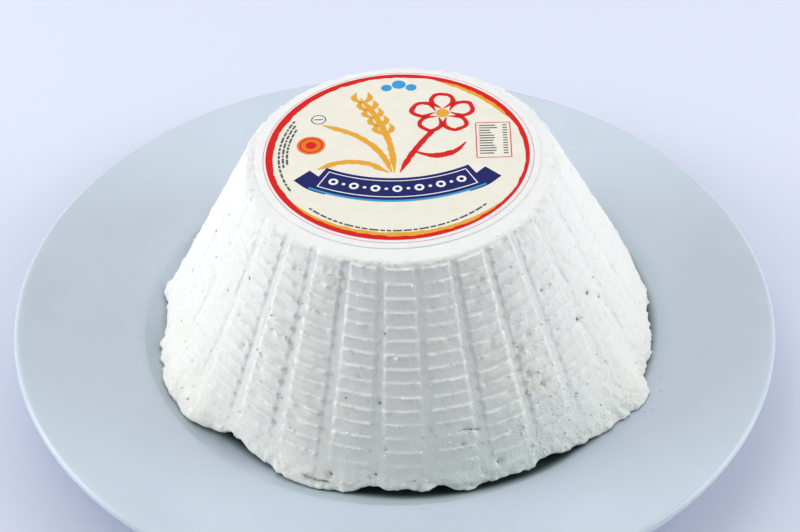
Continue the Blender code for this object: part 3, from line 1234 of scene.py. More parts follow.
    def ridge_strength(self, azimuth: Array, climb: Array, panel: Array) -> Array:
        """How strong the ridges are: 0 off the panels, and up to about 2.7 on them.

        They are strongest about 28 degrees either side of the front and fade beyond 42, more
        on the right than on the left. They are weak in one worn place low on the front and
        towards the foot.

        Args:
            azimuth: Azimuth of each grid point.
            climb: Climb of each grid point.
            panel: Mask of the panels between the flutes.

        Returns:
            The factor for each point.
        """
        worn = bell(turn_between(azimuth, 6.0) / 12.0) * bell((climb - 0.27) / 0.085)
        kept = 1.0 - 0.9 * worn
        low_fade = 0.25 + 0.75 * ramp(0.10, 0.32, climb)
        turned = turn_between(azimuth, 0.0)
        aside = np.abs(turned)
        flank = 1.35 + 1.35 * bell((aside - 28.0) / 13.0) - 0.9 * ramp(42.0, 62.0, aside)
        flank = flank * (1.0 - 0.35 * ramp(24.0, 38.0, turned))
        return panel * kept * low_fade * flank

    def ridges(
        self, azimuth: Array, climb: Array, panel: Array, points: Array
    ) -> tuple[Array, Array, Array]:
        """Height of the thin ridges that the basket's slots leave across each panel.

        Each is a lopsided bell over its line: it falls off at once above the line and eases
        out slowly below it. A finer, rougher crest rides on it, and the finish paints a highlight
        there. A narrow line of painted shade lies just above it, darker beside the front than in
        the middle of it. Noise breaks them up.

        Args:
            azimuth: Azimuth of each grid point.
            climb: Climb of each grid point.
            panel: Mask of the panels between the flutes.
            points: The plain surface, for the noise.

        Returns:
            Height to add, a mask of the crests, and one of the painted shade above them.
        """
        break_up = 1.05 * ramp(-0.75, 0.12, cloud(points, 5 * MM, Seed.RIDGE_BREAKS, 2))
        rough = np.maximum(0.0, 0.55 + 1.3 * noise(points, 1.3 * MM, Seed.RIDGE_CRESTS))
        strength = self.ridge_strength(azimuth, climb, panel)
        # Painted shade above each ridge, weaker in front than beside it
        painted_shade = 0.25 + 0.45 * ramp(15.0, 35.0, np.abs(turn_between(azimuth, 0.0)))
        total, crests, corners = (np.zeros_like(climb) for _ in range(3))
        for ridge in range(self.ridge_count):
            above = (climb - self.ridge_line(ridge, azimuth[0])) * self.slant
            body = bell(above / np.where(above > 0.0, self.ridge_above, self.ridge_below))
            crest = bell((above - 0.1 * MM) / (0.3 * MM)) * rough
            total += (self.ridge_height * body + self.crest_height * crest) * break_up
            crests += bell(above / (0.7 * MM)) * break_up
            corners += bell((above - 1.3 * MM) / (0.7 * MM)) * break_up * painted_shade
        return (
            total * strength,
            np.clip(crests * strength, 0.0, 1.0),
            np.clip(corners * strength, 0.0, 1.0),
        )

    def notches(self, azimuth: Array, climb: Array) -> Array:
        """Small holes where the ridges end at a flute, on some ridges more than on others.

        Args:
            azimuth: Azimuth of each grid point.
            climb: Climb of each grid point.

        Returns:
            How deep each point lies in a notch, from 0 to 1.
        """
        nearest, offset = self.nearest_stave(azimuth)
        shape = (self.ridge_count, self.staves, 2)
        random = np.random.default_rng(Seed.NOTCHES).uniform(-0.3, 1.0, shape)
        total = np.zeros_like(climb)
        for ridge in range(self.ridge_count):
            above = (climb - self.ridge_line(ridge, azimuth[0])) * self.slant
            for side, sign in enumerate((-1.0, 1.0)):
                depth = np.clip(random[ridge, :, side], 0.0, 1.0)[nearest]
                at_edge = bell((sign * offset - self.stave_half_width + 0.4) / 0.3)
                total += depth * at_edge * bell((above - 0.1 * MM) / (0.42 * MM))
        return total

    def scattered_marks(self) -> list[Mark]:
        """Random pinholes all round, more of them low down, and about a third of them stained."""
        random = np.random.default_rng(Seed.PINHOLES)
        marks = []
        for _ in range(self.pinhole_count):
            azimuth, climb = random.uniform(0.0, 360.0), random.beta(1.0, 1.5)
            radius = random.uniform(0.55, 1.05) * MM
            stain = max(0.0, random.uniform(-1.6, 0.7))
            marks.append(Mark(azimuth, climb, radius, -random.uniform(0.2, 0.65) * MM, stain))
        return marks

    def all_marks(self) -> list[Mark]:
        """The marks that stand out one by one, the cracks and the scattered pinholes."""
        return [*OWN_MARKS, *CRACKS, *self.scattered_marks()]

    def near(self, mark: Mark, points: Array) -> Array:
        """Bell of each point's distance from a mark's middle, as wide as its radius."""
        middle = self.side(np.array(mark.azimuth), np.array(mark.climb))
        return bell(np.linalg.norm(points - middle, axis=-1) / mark.radius)

    def marks(self, points: Array) -> tuple[Array, Array]:
        """Sum of the single marks, each a bell of the distance from its middle.

        Args:
            points: The plain surface.

        Returns:
            Height to add, and how hollow it is, which the finish paints as shade.
        """
        height, hollow = (np.zeros(points.shape[:-1]) for _ in range(2))
        for mark in self.all_marks():
            near = self.near(mark, points)
            height += mark.height * near
            hollow += near * (mark.height < 0.0)
        return height, np.clip(hollow, 0.0, 1.0)

    def crumbly(self, points: Array) -> Array:
        """How crumbly the surface is: the sum of the patches, each a bell of its height."""
        total = np.zeros(points.shape[:-1])
        for patch in CRUMBLY_PATCHES:
            total += patch.height / MM * self.near(patch, points)
        return total

    def clear_of_label(self, points: Array) -> Array:
        """Mask that is 0 under the label, where the top is pressed flat, and 1 outside it."""
        reach = np.linalg.norm(points - np.array(self.label_centre), axis=-1)
        return ramp(self.label_radius - 0.2 * MM, self.label_radius + 1.4 * MM, reach)

    def relief(
        self, azimuth: Array, climb: Array, below: Array, points: Array
    ) -> tuple[Array, dict[str, Array]]:
        """All that stands out of or into the plain surface.

        The crumbly patches, a band along the foot and stretches of the rim are lumpy. The
        flanks are a little lumpy too, but not pitted, so only the relief knows of that.

        Args:
            azimuth: Azimuth of each grid point.
            climb: Climb of each grid point.
            below: Way down the section from the edge of the flat top, minus on the top.
            points: The plain surface.

        Returns:
            Height to add along the normal, and the marks that the finish reads.
        """
        on_side = ramp(-0.6 * MM, 2.8 * MM, below)
        flute, panel = self.flutes(azimuth, climb, points)
        ridge, crest, corner = self.ridges(azimuth, climb, panel, points)
        notch = self.notches(azimuth, climb)
        single, hollow = self.marks(points)
        foot = 1.0 - ramp(0.0, 0.14, climb)
        lowest = 1.0 - ramp(0.0, 0.07, climb)
        rim = bell((below - 1.5 * MM) / (2.6 * MM))
        rim = rim * ramp(-0.5, 0.5, cloud(points, 16 * MM, Seed.RIM_LUMPS, 2))
        patches = self.crumbly(points)
        aside = np.abs(turn_between(azimuth, 0.0))
        rough = 0.4 * patches + 0.9 * foot + 1.1 * rim + 0.12
        lumpy = rough + 0.4 * ramp(38.0, 60.0, aside)
        swell = 0.35 * MM * cloud(points, 34 * MM, Seed.SWELL, 2) * ramp(-3 * MM, 6 * MM, below)
        # The fine grain is weaker in the flutes, where the basket pressed the curd smooth
        grain = 0.10 * MM * cloud(points, 2.0 * MM, Seed.SKIN_GRAIN, 2)
        grain = grain * (0.3 + 0.7 * np.maximum(panel, 1.0 - on_side))
        crumbs = 0.8 * MM * lumpy * billow(points, 3.8 * MM, Seed.CRUMBLY_LUMPS, 3)
        crumbs = crumbs + 0.7 * MM * foot * billow(points, 8 * MM, Seed.FOOT_LUMPS, 2)
        crumbs = crumbs + 1.1 * MM * lowest * billow(points, 3.2 * MM, Seed.FOOT_CRUMBS, 2)
        bare = self.clear_of_label(points)
        moulded = flute + ridge - self.notch_depth * notch + swell + single
        proud = on_side * moulded + bare * (grain + crumbs)
        low_front = (1.0 - ramp(0.0, 0.5, climb)) * bell(turn_between(azimuth, 22.0) / 34.0)
        # The hollow mark is painted shade in the hollows, the notches and the line above each ridge;
        # the finish paints a highlight on the crest mark; low on the front the curd is darker and
        # greener
        return proud, {
            "hollow": np.clip(hollow + (corner + 0.8 * notch) * on_side, 0.0, 1.0),
            "crumbly": np.clip(rough + 0.6 * patches, 0.0, 1.0) * bare,
            "crest": crest * on_side,
            "low_front_tint": low_front * on_side,
            "top": 1.0 - on_side,
        }

    # Assembly

    def upper_rows(self, azimuth: Array, foot: Array) -> tuple[Array, Array, Array, Array, Array]:
        """Section of the flat top, the rounded corner and the side.

        Args:
            azimuth: Azimuth of each column.
            foot: Climb of the foot in each column.

        Returns:
            Radius, height, normal's angle above the level, climb, and the way below the top's edge.
        """
        sweep = math.radians(90.0) - self.slope
        corner = self.top_radius - self.corner_radius * math.tan(sweep / 2.0)
        top = np.array(self.top_rows) * MM
        arc = np.linspace(math.radians(90.0), self.slope, self.corner_rows)
        climbs = self.side_climbs(azimuth, foot)
        rest = np.ones_like(azimuth)
        arc_radius = corner + self.corner_radius * np.cos(arc)
        radius = np.vstack(
            [top[:, None] * rest, arc_radius[:, None] * rest, self.side_radius(azimuth, climbs)]
        )
        arc_height = self.height - self.corner_radius * (1.0 - np.sin(arc))
        flat = np.full((len(top), len(azimuth)), self.height)
        height = np.vstack([flat, arc_height[:, None] * rest, self.height * climbs])
        tilt = np.concatenate([np.full(len(top), arc[0]), arc, np.full(len(climbs), self.slope)])
        start = arc_height[-1] / self.height
        arc_way = self.corner_radius * (arc[0] - arc)
        side_way = arc_way[-1] + (start - climbs) * self.slant
        below = np.vstack([(top - corner)[:, None] * rest, arc_way[:, None] * rest, side_way])
        flat_climb = height[: len(top) + len(arc)] / self.height
        return radius, height, tilt[:, None] * rest, np.vstack([flat_climb, climbs]), below

    def underside(self, edge: Array) -> Array:
        """Rows under the foot, from its edge inwards, lying on the plate away from the torn edges.

        Args:
            edge: Places of the foot's edge, one for each column.

        Returns:
            Rows by columns of places, the last row far in under the cheese.
        """
        reach = np.hypot(edge[:, 0], edge[:, 1])
        lift = edge[:, 2] - self.seat(edge)
        rows = []
        for inset in np.array(self.under_rows) * MM:
            row = edge * ((reach - inset) / reach)[:, None]
            fade = max(0.0, 1.0 - (inset / self.undercut) ** 2)
            uneven = 1.0 + 0.25 * noise(row, 3 * MM, Seed.FOOT_UNDERCUT)
            row[:, 2] = self.seat(row) + lift * fade * uneven
            rows.append(row)
        return np.stack(rows)

    def build(self, effects: Effects) -> tuple[Array, Array]:
        """Skin the whole curd.

        Args:
            effects: The shared shader groups.

        Returns:
            The piece's upper grid of points, and the azimuth and climb of each of them.
        """
        azimuth = self.columns()
        foot = self.foot_line(azimuth)
        radius, height, tilt, climb, below = self.upper_rows(azimuth, foot)
        angles = np.broadcast_to(azimuth, radius.shape)
        plain = self.place(radius, angles, height)
        proud, marks = self.relief(angles, climb, below, plain)
        # The last rows turn in under the foot along a quarter circle
        turn = self.foot_turn
        way = np.clip((climb - foot) * self.slant, 0.0, turn)
        proud = proud - (turn - np.sqrt(turn**2 - (turn - way) ** 2)) * (below > 0.0)
        points = self.place(radius + proud * np.cos(tilt), angles, height + proud * np.sin(tilt))
        points[..., 2] = np.maximum(points[..., 2], self.seat(points))
        bottom = self.underside(points[-1])
        grid = np.concatenate([points, bottom])
        empty = np.zeros(bottom.shape[:2])
        marks = {name: np.vstack([value, empty]) for name, value in marks.items()}
        # The underside rows take the finish's painted shadow
        marks["under"] = np.vstack([np.zeros(points.shape[:2]), empty + 1.0])
        material = self.finish.build(effects)
        make_piece("ricotta_curd", tube(grid, marks), material, Slot.CURD, "ricotta", SOFT_EDGES)
        return points, np.stack([angles, climb], axis=-1)


# ------------------------ label


class Ink(Enum):
    """Printing inks of the label, each as a display colour."""

    CREAM = (246, 240, 226)
    RED = (224, 20, 20)
    GOLD = (238, 172, 50)
    ORANGE = (240, 122, 34)
    NAVY = (24, 28, 100)
    SKY = (58, 158, 220)
    GREY = (78, 88, 82)
    WHITE = (250, 250, 250)


@dataclass(frozen=True)
class PaperFinish:
    """Satin coated paper or ink, with a faint fibre."""

    roughness: float = 0.45
    gloss: float = 0.15
    fibre_size: float = 0.7 * MM
    fibre_depth: float = 0.012 * MM
    patch_size: float = 6 * MM
    patch_shade: float = 0.95

    def build(self, effects: Effects, name: str, colour: Colour) -> Material:
        """Make the material.

        Args:
            effects: The shared groups.
            name: Name of the material.
            colour: Colour of the paper or ink.

        Returns:
            The material.
        """
        finish = Finish(name, colour, self.roughness, effects)
        nodes = finish.nodes
        fibre = finish.grain(self.fibre_size)
        uneven = nodes.step(finish.grain(self.patch_size), 0.3, 0.7)
        finish.colour(nodes.blend(uneven, darker(colour, self.patch_shade), colour))
        finish.roughness(fibre, self.roughness - 0.05, self.roughness + 0.1)
        finish.bump([(fibre, self.fibre_depth)])
        finish.dress({"Specular IOR Level": self.gloss})
        return finish.material


@dataclass(frozen=True)
class RoundLabel:
    """Printed paper disc lying on the flat top, and its inks as thin raised films.

    Places on the label are given in its own plane: x to the right and y to the back, from
    its middle.
    """

    centre: tuple[float, float, float]
    radius: float = 56.0 * MM
    lean: tuple[float, float, float] = (0.007, -0.031, 0.0)
    paper_thickness: float = 0.25 * MM
    edge_droop: float = 0.3 * MM
    wave: float = 0.08 * MM
    film: float = 0.05 * MM
    ring_radius: float = 51.6 * MM
    field_radius: float = 50.2 * MM
    paper_colour: Colour = paint(248, 247, 246)
    finish: PaperFinish = PaperFinish()

    @classmethod
    def from_frame(cls) -> "RoundLabel":
        """The label in the middle of its CAD node's box."""
        low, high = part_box("label")
        return cls(centre=tuple((a + b) / 2.0 for a, b in zip(low, high)))

    def on_label(self, flat: Array, layer: float) -> Array:
        """World points over places on the label.

        Args:
            flat: Places x, y in the label's plane.
            layer: Height above the paper's upper face, which is the middle of the CAD disc.

        Returns:
            The points, on the paper's slight waves and drooping rim.
        """
        reach = np.linalg.norm(flat, axis=-1) / self.radius
        droop = self.edge_droop * ramp(0.9, 1.0, reach)
        flat_3d = np.concatenate([flat, np.zeros((*flat.shape[:-1], 1))], axis=-1)
        # The noise is read away from the middle, where its cells' corners would meet
        swell = self.wave * noise(flat_3d + 0.3, 26 * MM, Seed.PAPER_WAVES)
        swell = swell * (1.0 - ramp(0.85, 1.0, reach))
        height = layer + swell - droop
        local = np.concatenate([flat, height[..., None]], axis=-1)
        return local @ turn_matrix(self.lean).T + np.array(self.centre)

    def paper(self) -> Shell:
        """The disc as a closed slab with a rounded edge: upper face out, edge, lower face in."""
        sheet = np.linspace(2 * MM, 0.88 * self.radius, 26)
        border = np.linspace(0.9, 0.998, 8) * self.radius
        rings = np.concatenate([sheet, border])
        edge = [-self.paper_thickness / 4, -3 * self.paper_thickness / 4]
        layers = np.concatenate([np.zeros(len(rings)), edge])
        ring = np.concatenate([rings, [self.radius, self.radius], rings[::-1]])
        layers = np.concatenate([layers, np.full(len(rings), -self.paper_thickness)])
        flat = ring[:, None, None] * circle(240)
        lift = turn_matrix(self.lean) @ np.array([0.0, 0.0, 1.0])
        return tube(self.on_label(flat, 0.0) + layers[:, None, None] * lift)

    def film_of(
        self, path: Array, left: Array, right: Array, layer: float, loop: bool = False
    ) -> Shell:
        """A film of ink along a path, with a row of points across it at least every 3 mm.

        Args:
            path: Places along the middle, n by 2.
            left: Reach to the left of the path at each place.
            right: Reach to the right of the path at each place.
            layer: Height of the film's upper face above the paper.
            loop: The path closes on itself.

        Returns:
            A thin closed slab.
        """
        if loop:
            along = np.roll(path, -1, axis=0) - np.roll(path, 1, axis=0)
        else:
            along = np.gradient(path, axis=0)
        along /= np.linalg.norm(along, axis=1, keepdims=True)
        normal = np.stack([-along[:, 1], along[:, 0]], axis=-1)
        width = float((left + right).max())
        across = np.linspace(0.0, 1.0, 2 + int(width / (3 * MM)))
        reach = left[:, None] - (left + right)[:, None] * across
        flat = path[:, None] + normal[:, None] * reach[..., None]
        upper = self.on_label(flat, layer)
        lower = self.on_label(flat, layer - self.film)
        return tube(np.concatenate([upper, lower[:, ::-1]], axis=1), loop=loop)


def sampled(points: Sequence[tuple[float, float]], count: int) -> Array:
    """A smooth path through a few places in millimetres, by Catmull-Rom, in metres.

    Args:
        points: Places that the path goes through.
        count: Number of places along the result.

    Returns:
        The path, count by 2.
    """
    knots = np.array(points) * MM
    knots = np.vstack([2 * knots[0] - knots[1], knots, 2 * knots[-1] - knots[-2]])
    at = np.linspace(0.0, len(points) - 1 - 1e-9, count)
    span = at.astype(int)
    t = (at - span)[:, None]
    a, b, c, d = (knots[span + k] for k in range(4))
    slope, bend, twist = c - a, 2 * a - 5 * b + 4 * c - d, 3 * b - a - 3 * c + d
    return 0.5 * (2 * b + slope * t + bend * t**2 + twist * t**3)


# Inked shapes one after the other, each with its ink
Films = Iterator[tuple[Ink, Shell]]


@dataclass(frozen=True)
class LabelPrint:
    """A generic design for the label: ring, ribbon, meadow sprig, seal, box of rules and small rules.

    Shapes are in millimetres from the label's middle, x to the right and y to the back. Each
    layer is the height of a film's face above the paper, so that later inks cover earlier ones.
    """

    label: RoundLabel
    field_layer: float = 0.04 * MM
    hairline_layer: float = 0.06 * MM
    sweep_layer: float = 0.07 * MM
    tail_layer: float = 0.08 * MM
    ring_layer: float = 0.09 * MM
    drawing_layer: float = 0.10 * MM
    over_layer: float = 0.12 * MM
    top_layer: float = 0.14 * MM
    dot_layer: float = 0.18 * MM
    eye_layer: float = 0.20 * MM

    def arc(self, radius: float, start: float, end: float, count: int) -> Array:
        """Places on a circle about the middle, between two angles in degrees from +x."""
        angle = np.radians(np.linspace(start, end, count))
        return radius * np.stack([np.cos(angle), np.sin(angle)], axis=-1)

    def brush(
        self,
        points: Sequence[tuple[float, float]],
        width: float,
        seed: int,
        layer: float,
        taper: float = 0.15,
    ) -> Shell:
        """A brush stroke through a few places: full in the middle, tapering, with dry ragged edges.

        Args:
            points: Places that the stroke goes through.
            width: Its full width in millimetres.
            seed: Seed of its ragged edges.
            layer: Height of its face above the paper.
            taper: Share of its length over which each end tapers, down to 0.15 of the width.

        Returns:
            The stroke as a film.
        """
        count = 8 + int(2.2 * sum(math.dist(a, b) for a, b in zip(points, points[1:])))
        path = sampled(points, count)
        t = np.linspace(0.0, 1.0, count)
        swell = np.minimum(1.0, np.minimum(t, 1.0 - t) / taper * 0.85 + 0.15)
        along = t * count * 0.45 * MM
        line = np.stack([along, np.full(count, seed * 7 * MM), np.zeros(count)], axis=-1)
        ragged, other_edge = 0.28, 50
        left = width / 2 * MM * swell * (1.0 + ragged * cloud(line, 1.6 * MM, seed, 2))
        right = width / 2 * MM * swell * (1.0 + ragged * cloud(line, 1.6 * MM, seed + other_edge, 2))
        return self.label.film_of(path, left, right, layer)

    def stripe(self, path: Array, width: float, layer: float, loop: bool = False) -> Shell:
        """A film along a path, of one width in millimetres."""
        half = np.full(len(path), width / 2 * MM)
        return self.label.film_of(path, half, half, layer, loop)

    def rule(
        self, start: tuple[float, float], end: tuple[float, float], width: float, layer: float
    ) -> Shell:
        """A straight bar between two places in millimetres."""
        path = np.linspace(start, end, 2 + int(math.dist(start, end) / 3)) * MM
        return self.stripe(path, width, layer)

    def disc(self, x: float, y: float, radius: float, layer: float) -> Shell:
        """A filled circle, as a path across it with the circle's half chord for its width."""
        t = np.linspace(-math.pi / 2, math.pi / 2, 25)
        path = np.stack([x + radius * np.sin(t), np.full(len(t), y)], axis=-1) * MM
        half = np.maximum(radius * np.cos(t), 0.02) * MM
        return self.label.film_of(path, half, half, layer)

    def hoop(self, x: float, y: float, radius: float, width: float, layer: float) -> Shell:
        """A thin circle line."""
        path = (np.array([x, y]) + radius * circle(24 + 4 * int(radius))) * MM
        return self.stripe(path, width, layer, loop=True)

    def ring(self) -> Shell:
        """Red ring with a clean outer edge and a ragged inner one.

        It is 2.2 mm wide, a millimetre more at the upper left and less at the lower right.
        """
        count = 720
        angle = np.linspace(0.0, 360.0, count, endpoint=False)
        path = self.arc(self.label.ring_radius, 0.0, 360.0 * (1 - 1 / count), count)
        line = np.concatenate([path, np.zeros((count, 1))], axis=-1)
        wide, narrow = turn_between(angle, 150.0) / 45.0, turn_between(angle, 330.0) / 40.0
        body = 2.2 + 1.0 * bell(wide) - 1.0 * bell(narrow)
        ragged = body + 0.5 * cloud(line, 3.0 * MM, Seed.RED_RING, 3)
        ragged = ragged + 0.3 * cloud(line, 12 * MM, Seed.RED_RING_DRIFT, 2)
        return self.label.film_of(path, ragged * MM, np.zeros(count), self.ring_layer, loop=True)

    def gold_sweep(self, start: float, end: float, seed: int) -> Shell:
        """Gold crescent inside the ring, from 1 mm wide at both ends to 3.6 mm in the middle.

        Args:
            start: Angle in degrees from +x at which it starts.
            end: Angle at which it ends.
            seed: Seed of its ragged inner edge.

        Returns:
            The crescent as a film.
        """
        count = 220
        path = self.arc(self.label.ring_radius - 0.6 * MM, start, end, count)
        t = np.linspace(0.0, 1.0, count)
        line = np.concatenate([path, np.zeros((count, 1))], axis=-1)
        rise = np.sin(math.pi * t)
        reach = 1.0 + 2.6 * rise**0.7 + 0.5 * cloud(line, 2.4 * MM, seed, 3) * rise
        return self.label.film_of(path, reach * MM, np.zeros(count), self.sweep_layer)

    def cream_field(self) -> Shell:
        """Cream disc under the drawing, as rings from the middle out, over the edge and back under."""
        label = self.label
        rings = np.linspace(1.5 * MM, label.field_radius, 24)[:, None, None] * circle(200)
        upper = label.on_label(rings, self.field_layer)
        lower = label.on_label(rings[::-1], self.field_layer - label.film)
        return tube(np.concatenate([upper, lower]))

    def grounds(self) -> Films:
        """Cream field, red ring with a hairline about it, and two gold crescents inside it."""
        yield Ink.CREAM, self.cream_field()
        yield Ink.RED, self.ring()
        yield Ink.RED, self.hoop(0.35, -0.25, 52.9, 0.16, self.hairline_layer)
        yield Ink.GOLD, self.gold_sweep(-150.0, -40.0, Seed.LONG_SWEEP)
        yield Ink.GOLD, self.gold_sweep(20.0, 75.0, Seed.SHORT_SWEEP)

    def ribbon(self) -> Films:
        """Navy ribbon across the lower part: folded tails, white inner line and a row of dots."""
        middle = np.array([0.0, 40.0 * MM])
        radius = 62.0 * MM
        for side in (-1.0, 1.0):
            bends = [(side * 26.0, -20.5), (side * 32.0, -17.5), (side * 37.0, -12.5)]
            yield Ink.NAVY, self.stripe(sampled(bends, 16), 8.4, self.tail_layer)
        # Half the band's angle, its width, how far it is moved down, its ink and its layer
        for reach, width, drop, ink, layer in (
            (30.0, 13.4, 0.9, Ink.SKY, 0.10),
            (29.6, 13.0, 0.0, Ink.NAVY, 0.12),
            (27.6, 10.0, 0.0, Ink.WHITE, 0.14),
            (27.2, 9.1, 0.0, Ink.NAVY, 0.16),
        ):
            path = self.arc(radius, -90.0 - reach, -90.0 + reach, 64) + middle
            yield ink, self.stripe(path - np.array([0.0, drop * MM]), width, layer * MM)
        for number in range(-6, 7):
            x, y = (self.arc(radius, -90.0 + 3.9 * number, 0.0, 1) + middle)[0] / MM
            yield Ink.WHITE, self.disc(x, y, 0.7 if number % 2 else 1.9, self.dot_layer)
            if number % 2 == 0:
                yield Ink.NAVY, self.disc(x, y, 0.9, self.eye_layer)

    def sprig(self) -> Films:
        """Brush-drawn meadow grass in gold and a five-petalled flower in red."""
        blades = (
            [(-2, -12), (-7, 1), (-17, 12), (-30, 19)],
            [(-1, -12), (-3, 6), (-8, 22), (-15, 36)],
            [(-3, -12), (-12, -6), (-22, -5), (-31, -9)],
        )
        for number, blade in enumerate(blades):
            yield Ink.GOLD, self.brush(blade, 2.5, Seed.GRASS_BLADES + number, self.drawing_layer)
        for number in range(5):
            x, y = -5.5 - 2.2 * number, 15.0 + 5.2 * number
            for side in (-1, 1):
                grain = [(x, y - 3.2), (x + side * 3.2, y), (x + side * 2.4, y + 4.0)]
                seed = Seed.GRASS_GRAINS + 2 * number + side
                yield Ink.GOLD, self.brush(grain, 2.4, seed, self.over_layer, 0.4)
        stalk, leaf = [(1, -12), (6, 0), (11, 9), (15, 15)], [(6, 1), (14, -2), (22, 0), (27, 6)]
        yield Ink.RED, self.brush(stalk, 2.4, Seed.FLOWER_STALK, self.over_layer)
        yield Ink.RED, self.brush(leaf, 3.0, Seed.FLOWER_LEAF, self.over_layer, 0.4)
        centre = np.array((18.0, 25.0))
        outline = ((3, 0.4), (7, 4.2), (12, 2.8), (11.6, -2.8), (7, -4.2), (3, -0.4))
        for number in range(5):
            turn = math.radians(90 + 72 * number)
            ahead = np.array((math.cos(turn), math.sin(turn)))
            aside = np.array((-ahead[1], ahead[0]))
            petal = [tuple(centre + ahead * a + aside * b) for a, b in outline]
            yield Ink.RED, self.brush(petal, 1.9, Seed.PETALS + number, self.over_layer)
        yield Ink.GOLD, self.disc(*centre, 2.6, self.top_layer)

    def seal(self) -> Films:
        """Orange seal of plain rings, three sky-blue drops, and a small navy hoop with a bar."""
        yield Ink.ORANGE, self.disc(-34.0, 6.0, 5.6, self.drawing_layer)
        yield Ink.RED, self.hoop(-34.0, 6.0, 4.3, 0.6, self.over_layer)
        yield Ink.RED, self.disc(-34.0, 6.0, 2.2, self.over_layer)
        for x, y, radius in ((-4.5, 42.5, 2.2), (0.5, 44.6, 2.8), (5.5, 42.5, 2.2)):
            yield Ink.SKY, self.disc(x, y, radius, self.drawing_layer)
        yield Ink.NAVY, self.hoop(-31.5, 22.5, 2.8, 0.35, self.drawing_layer)
        yield Ink.NAVY, self.rule((-33.2, 22.5), (-29.8, 22.5), 0.5, self.drawing_layer)

    def small_rules(self) -> Films:
        """Red-lined box of grey rules at the right, and rows of short grey rules inside the ring."""
        random = np.random.default_rng(Seed.RULES)
        left, right, low, high = 31.0, 44.5, -4.0, 18.0
        layer = self.drawing_layer
        corners = [(left, low), (right, low), (right, high), (left, high)]
        for start, end in zip(corners, corners[1:] + corners[:1]):
            yield Ink.RED, self.rule(start, end, 0.35, layer)
        for y in np.arange(high - 1.8, low + 1.0, -1.6):
            split = left + 1.2 + random.uniform(4.4, 7.2)
            yield Ink.GREY, self.rule((left + 1.2, y), (split, y), 0.55, layer)
            yield Ink.GREY, self.rule((right - 3.0, y), (right - 1.2, y), 0.55, layer)
        # Radius of each curved row, and the angles that it runs between
        for radius, angle, last in (
            (46.4, -136.0, -44.0),
            (46.4, 152.0, 206.0),
            (44.8, 155.0, 190.0),
            (43.2, 158.0, 184.0),
        ):
            while angle < last:
                step = random.uniform(1.4, 4.6)
                path = self.arc(radius * MM, angle, angle + step, 5)
                yield Ink.GREY, self.stripe(path, 0.8, layer)
                angle += step + 0.9

    def shapes(self) -> dict[Ink, list[Shell]]:
        """All the films, by ink."""
        films: dict[Ink, list[Shell]] = {ink: [] for ink in Ink}
        for draw in (self.grounds, self.ribbon, self.sprig, self.seal, self.small_rules):
            for ink, shell in draw():
                films[ink].append(shell)
        return films

    def build(self, effects: Effects) -> None:
        """Make the paper and one piece for each ink.

        Args:
            effects: The shared shader groups.
        """
        finish = self.label.finish
        paper = finish.build(effects, "label_paper", self.label.paper_colour)
        make_piece("label_disc", self.label.paper(), paper, Slot.PAPER, "label")
        for ink, shells in self.shapes().items():
            name = ink.name.lower()
            material = finish.build(effects, f"ink_{name}", paint(*ink.value))
            make_piece(f"label_print_{name}", joined(shells), material, Slot.PAPER)


# ------------------------ crumbs


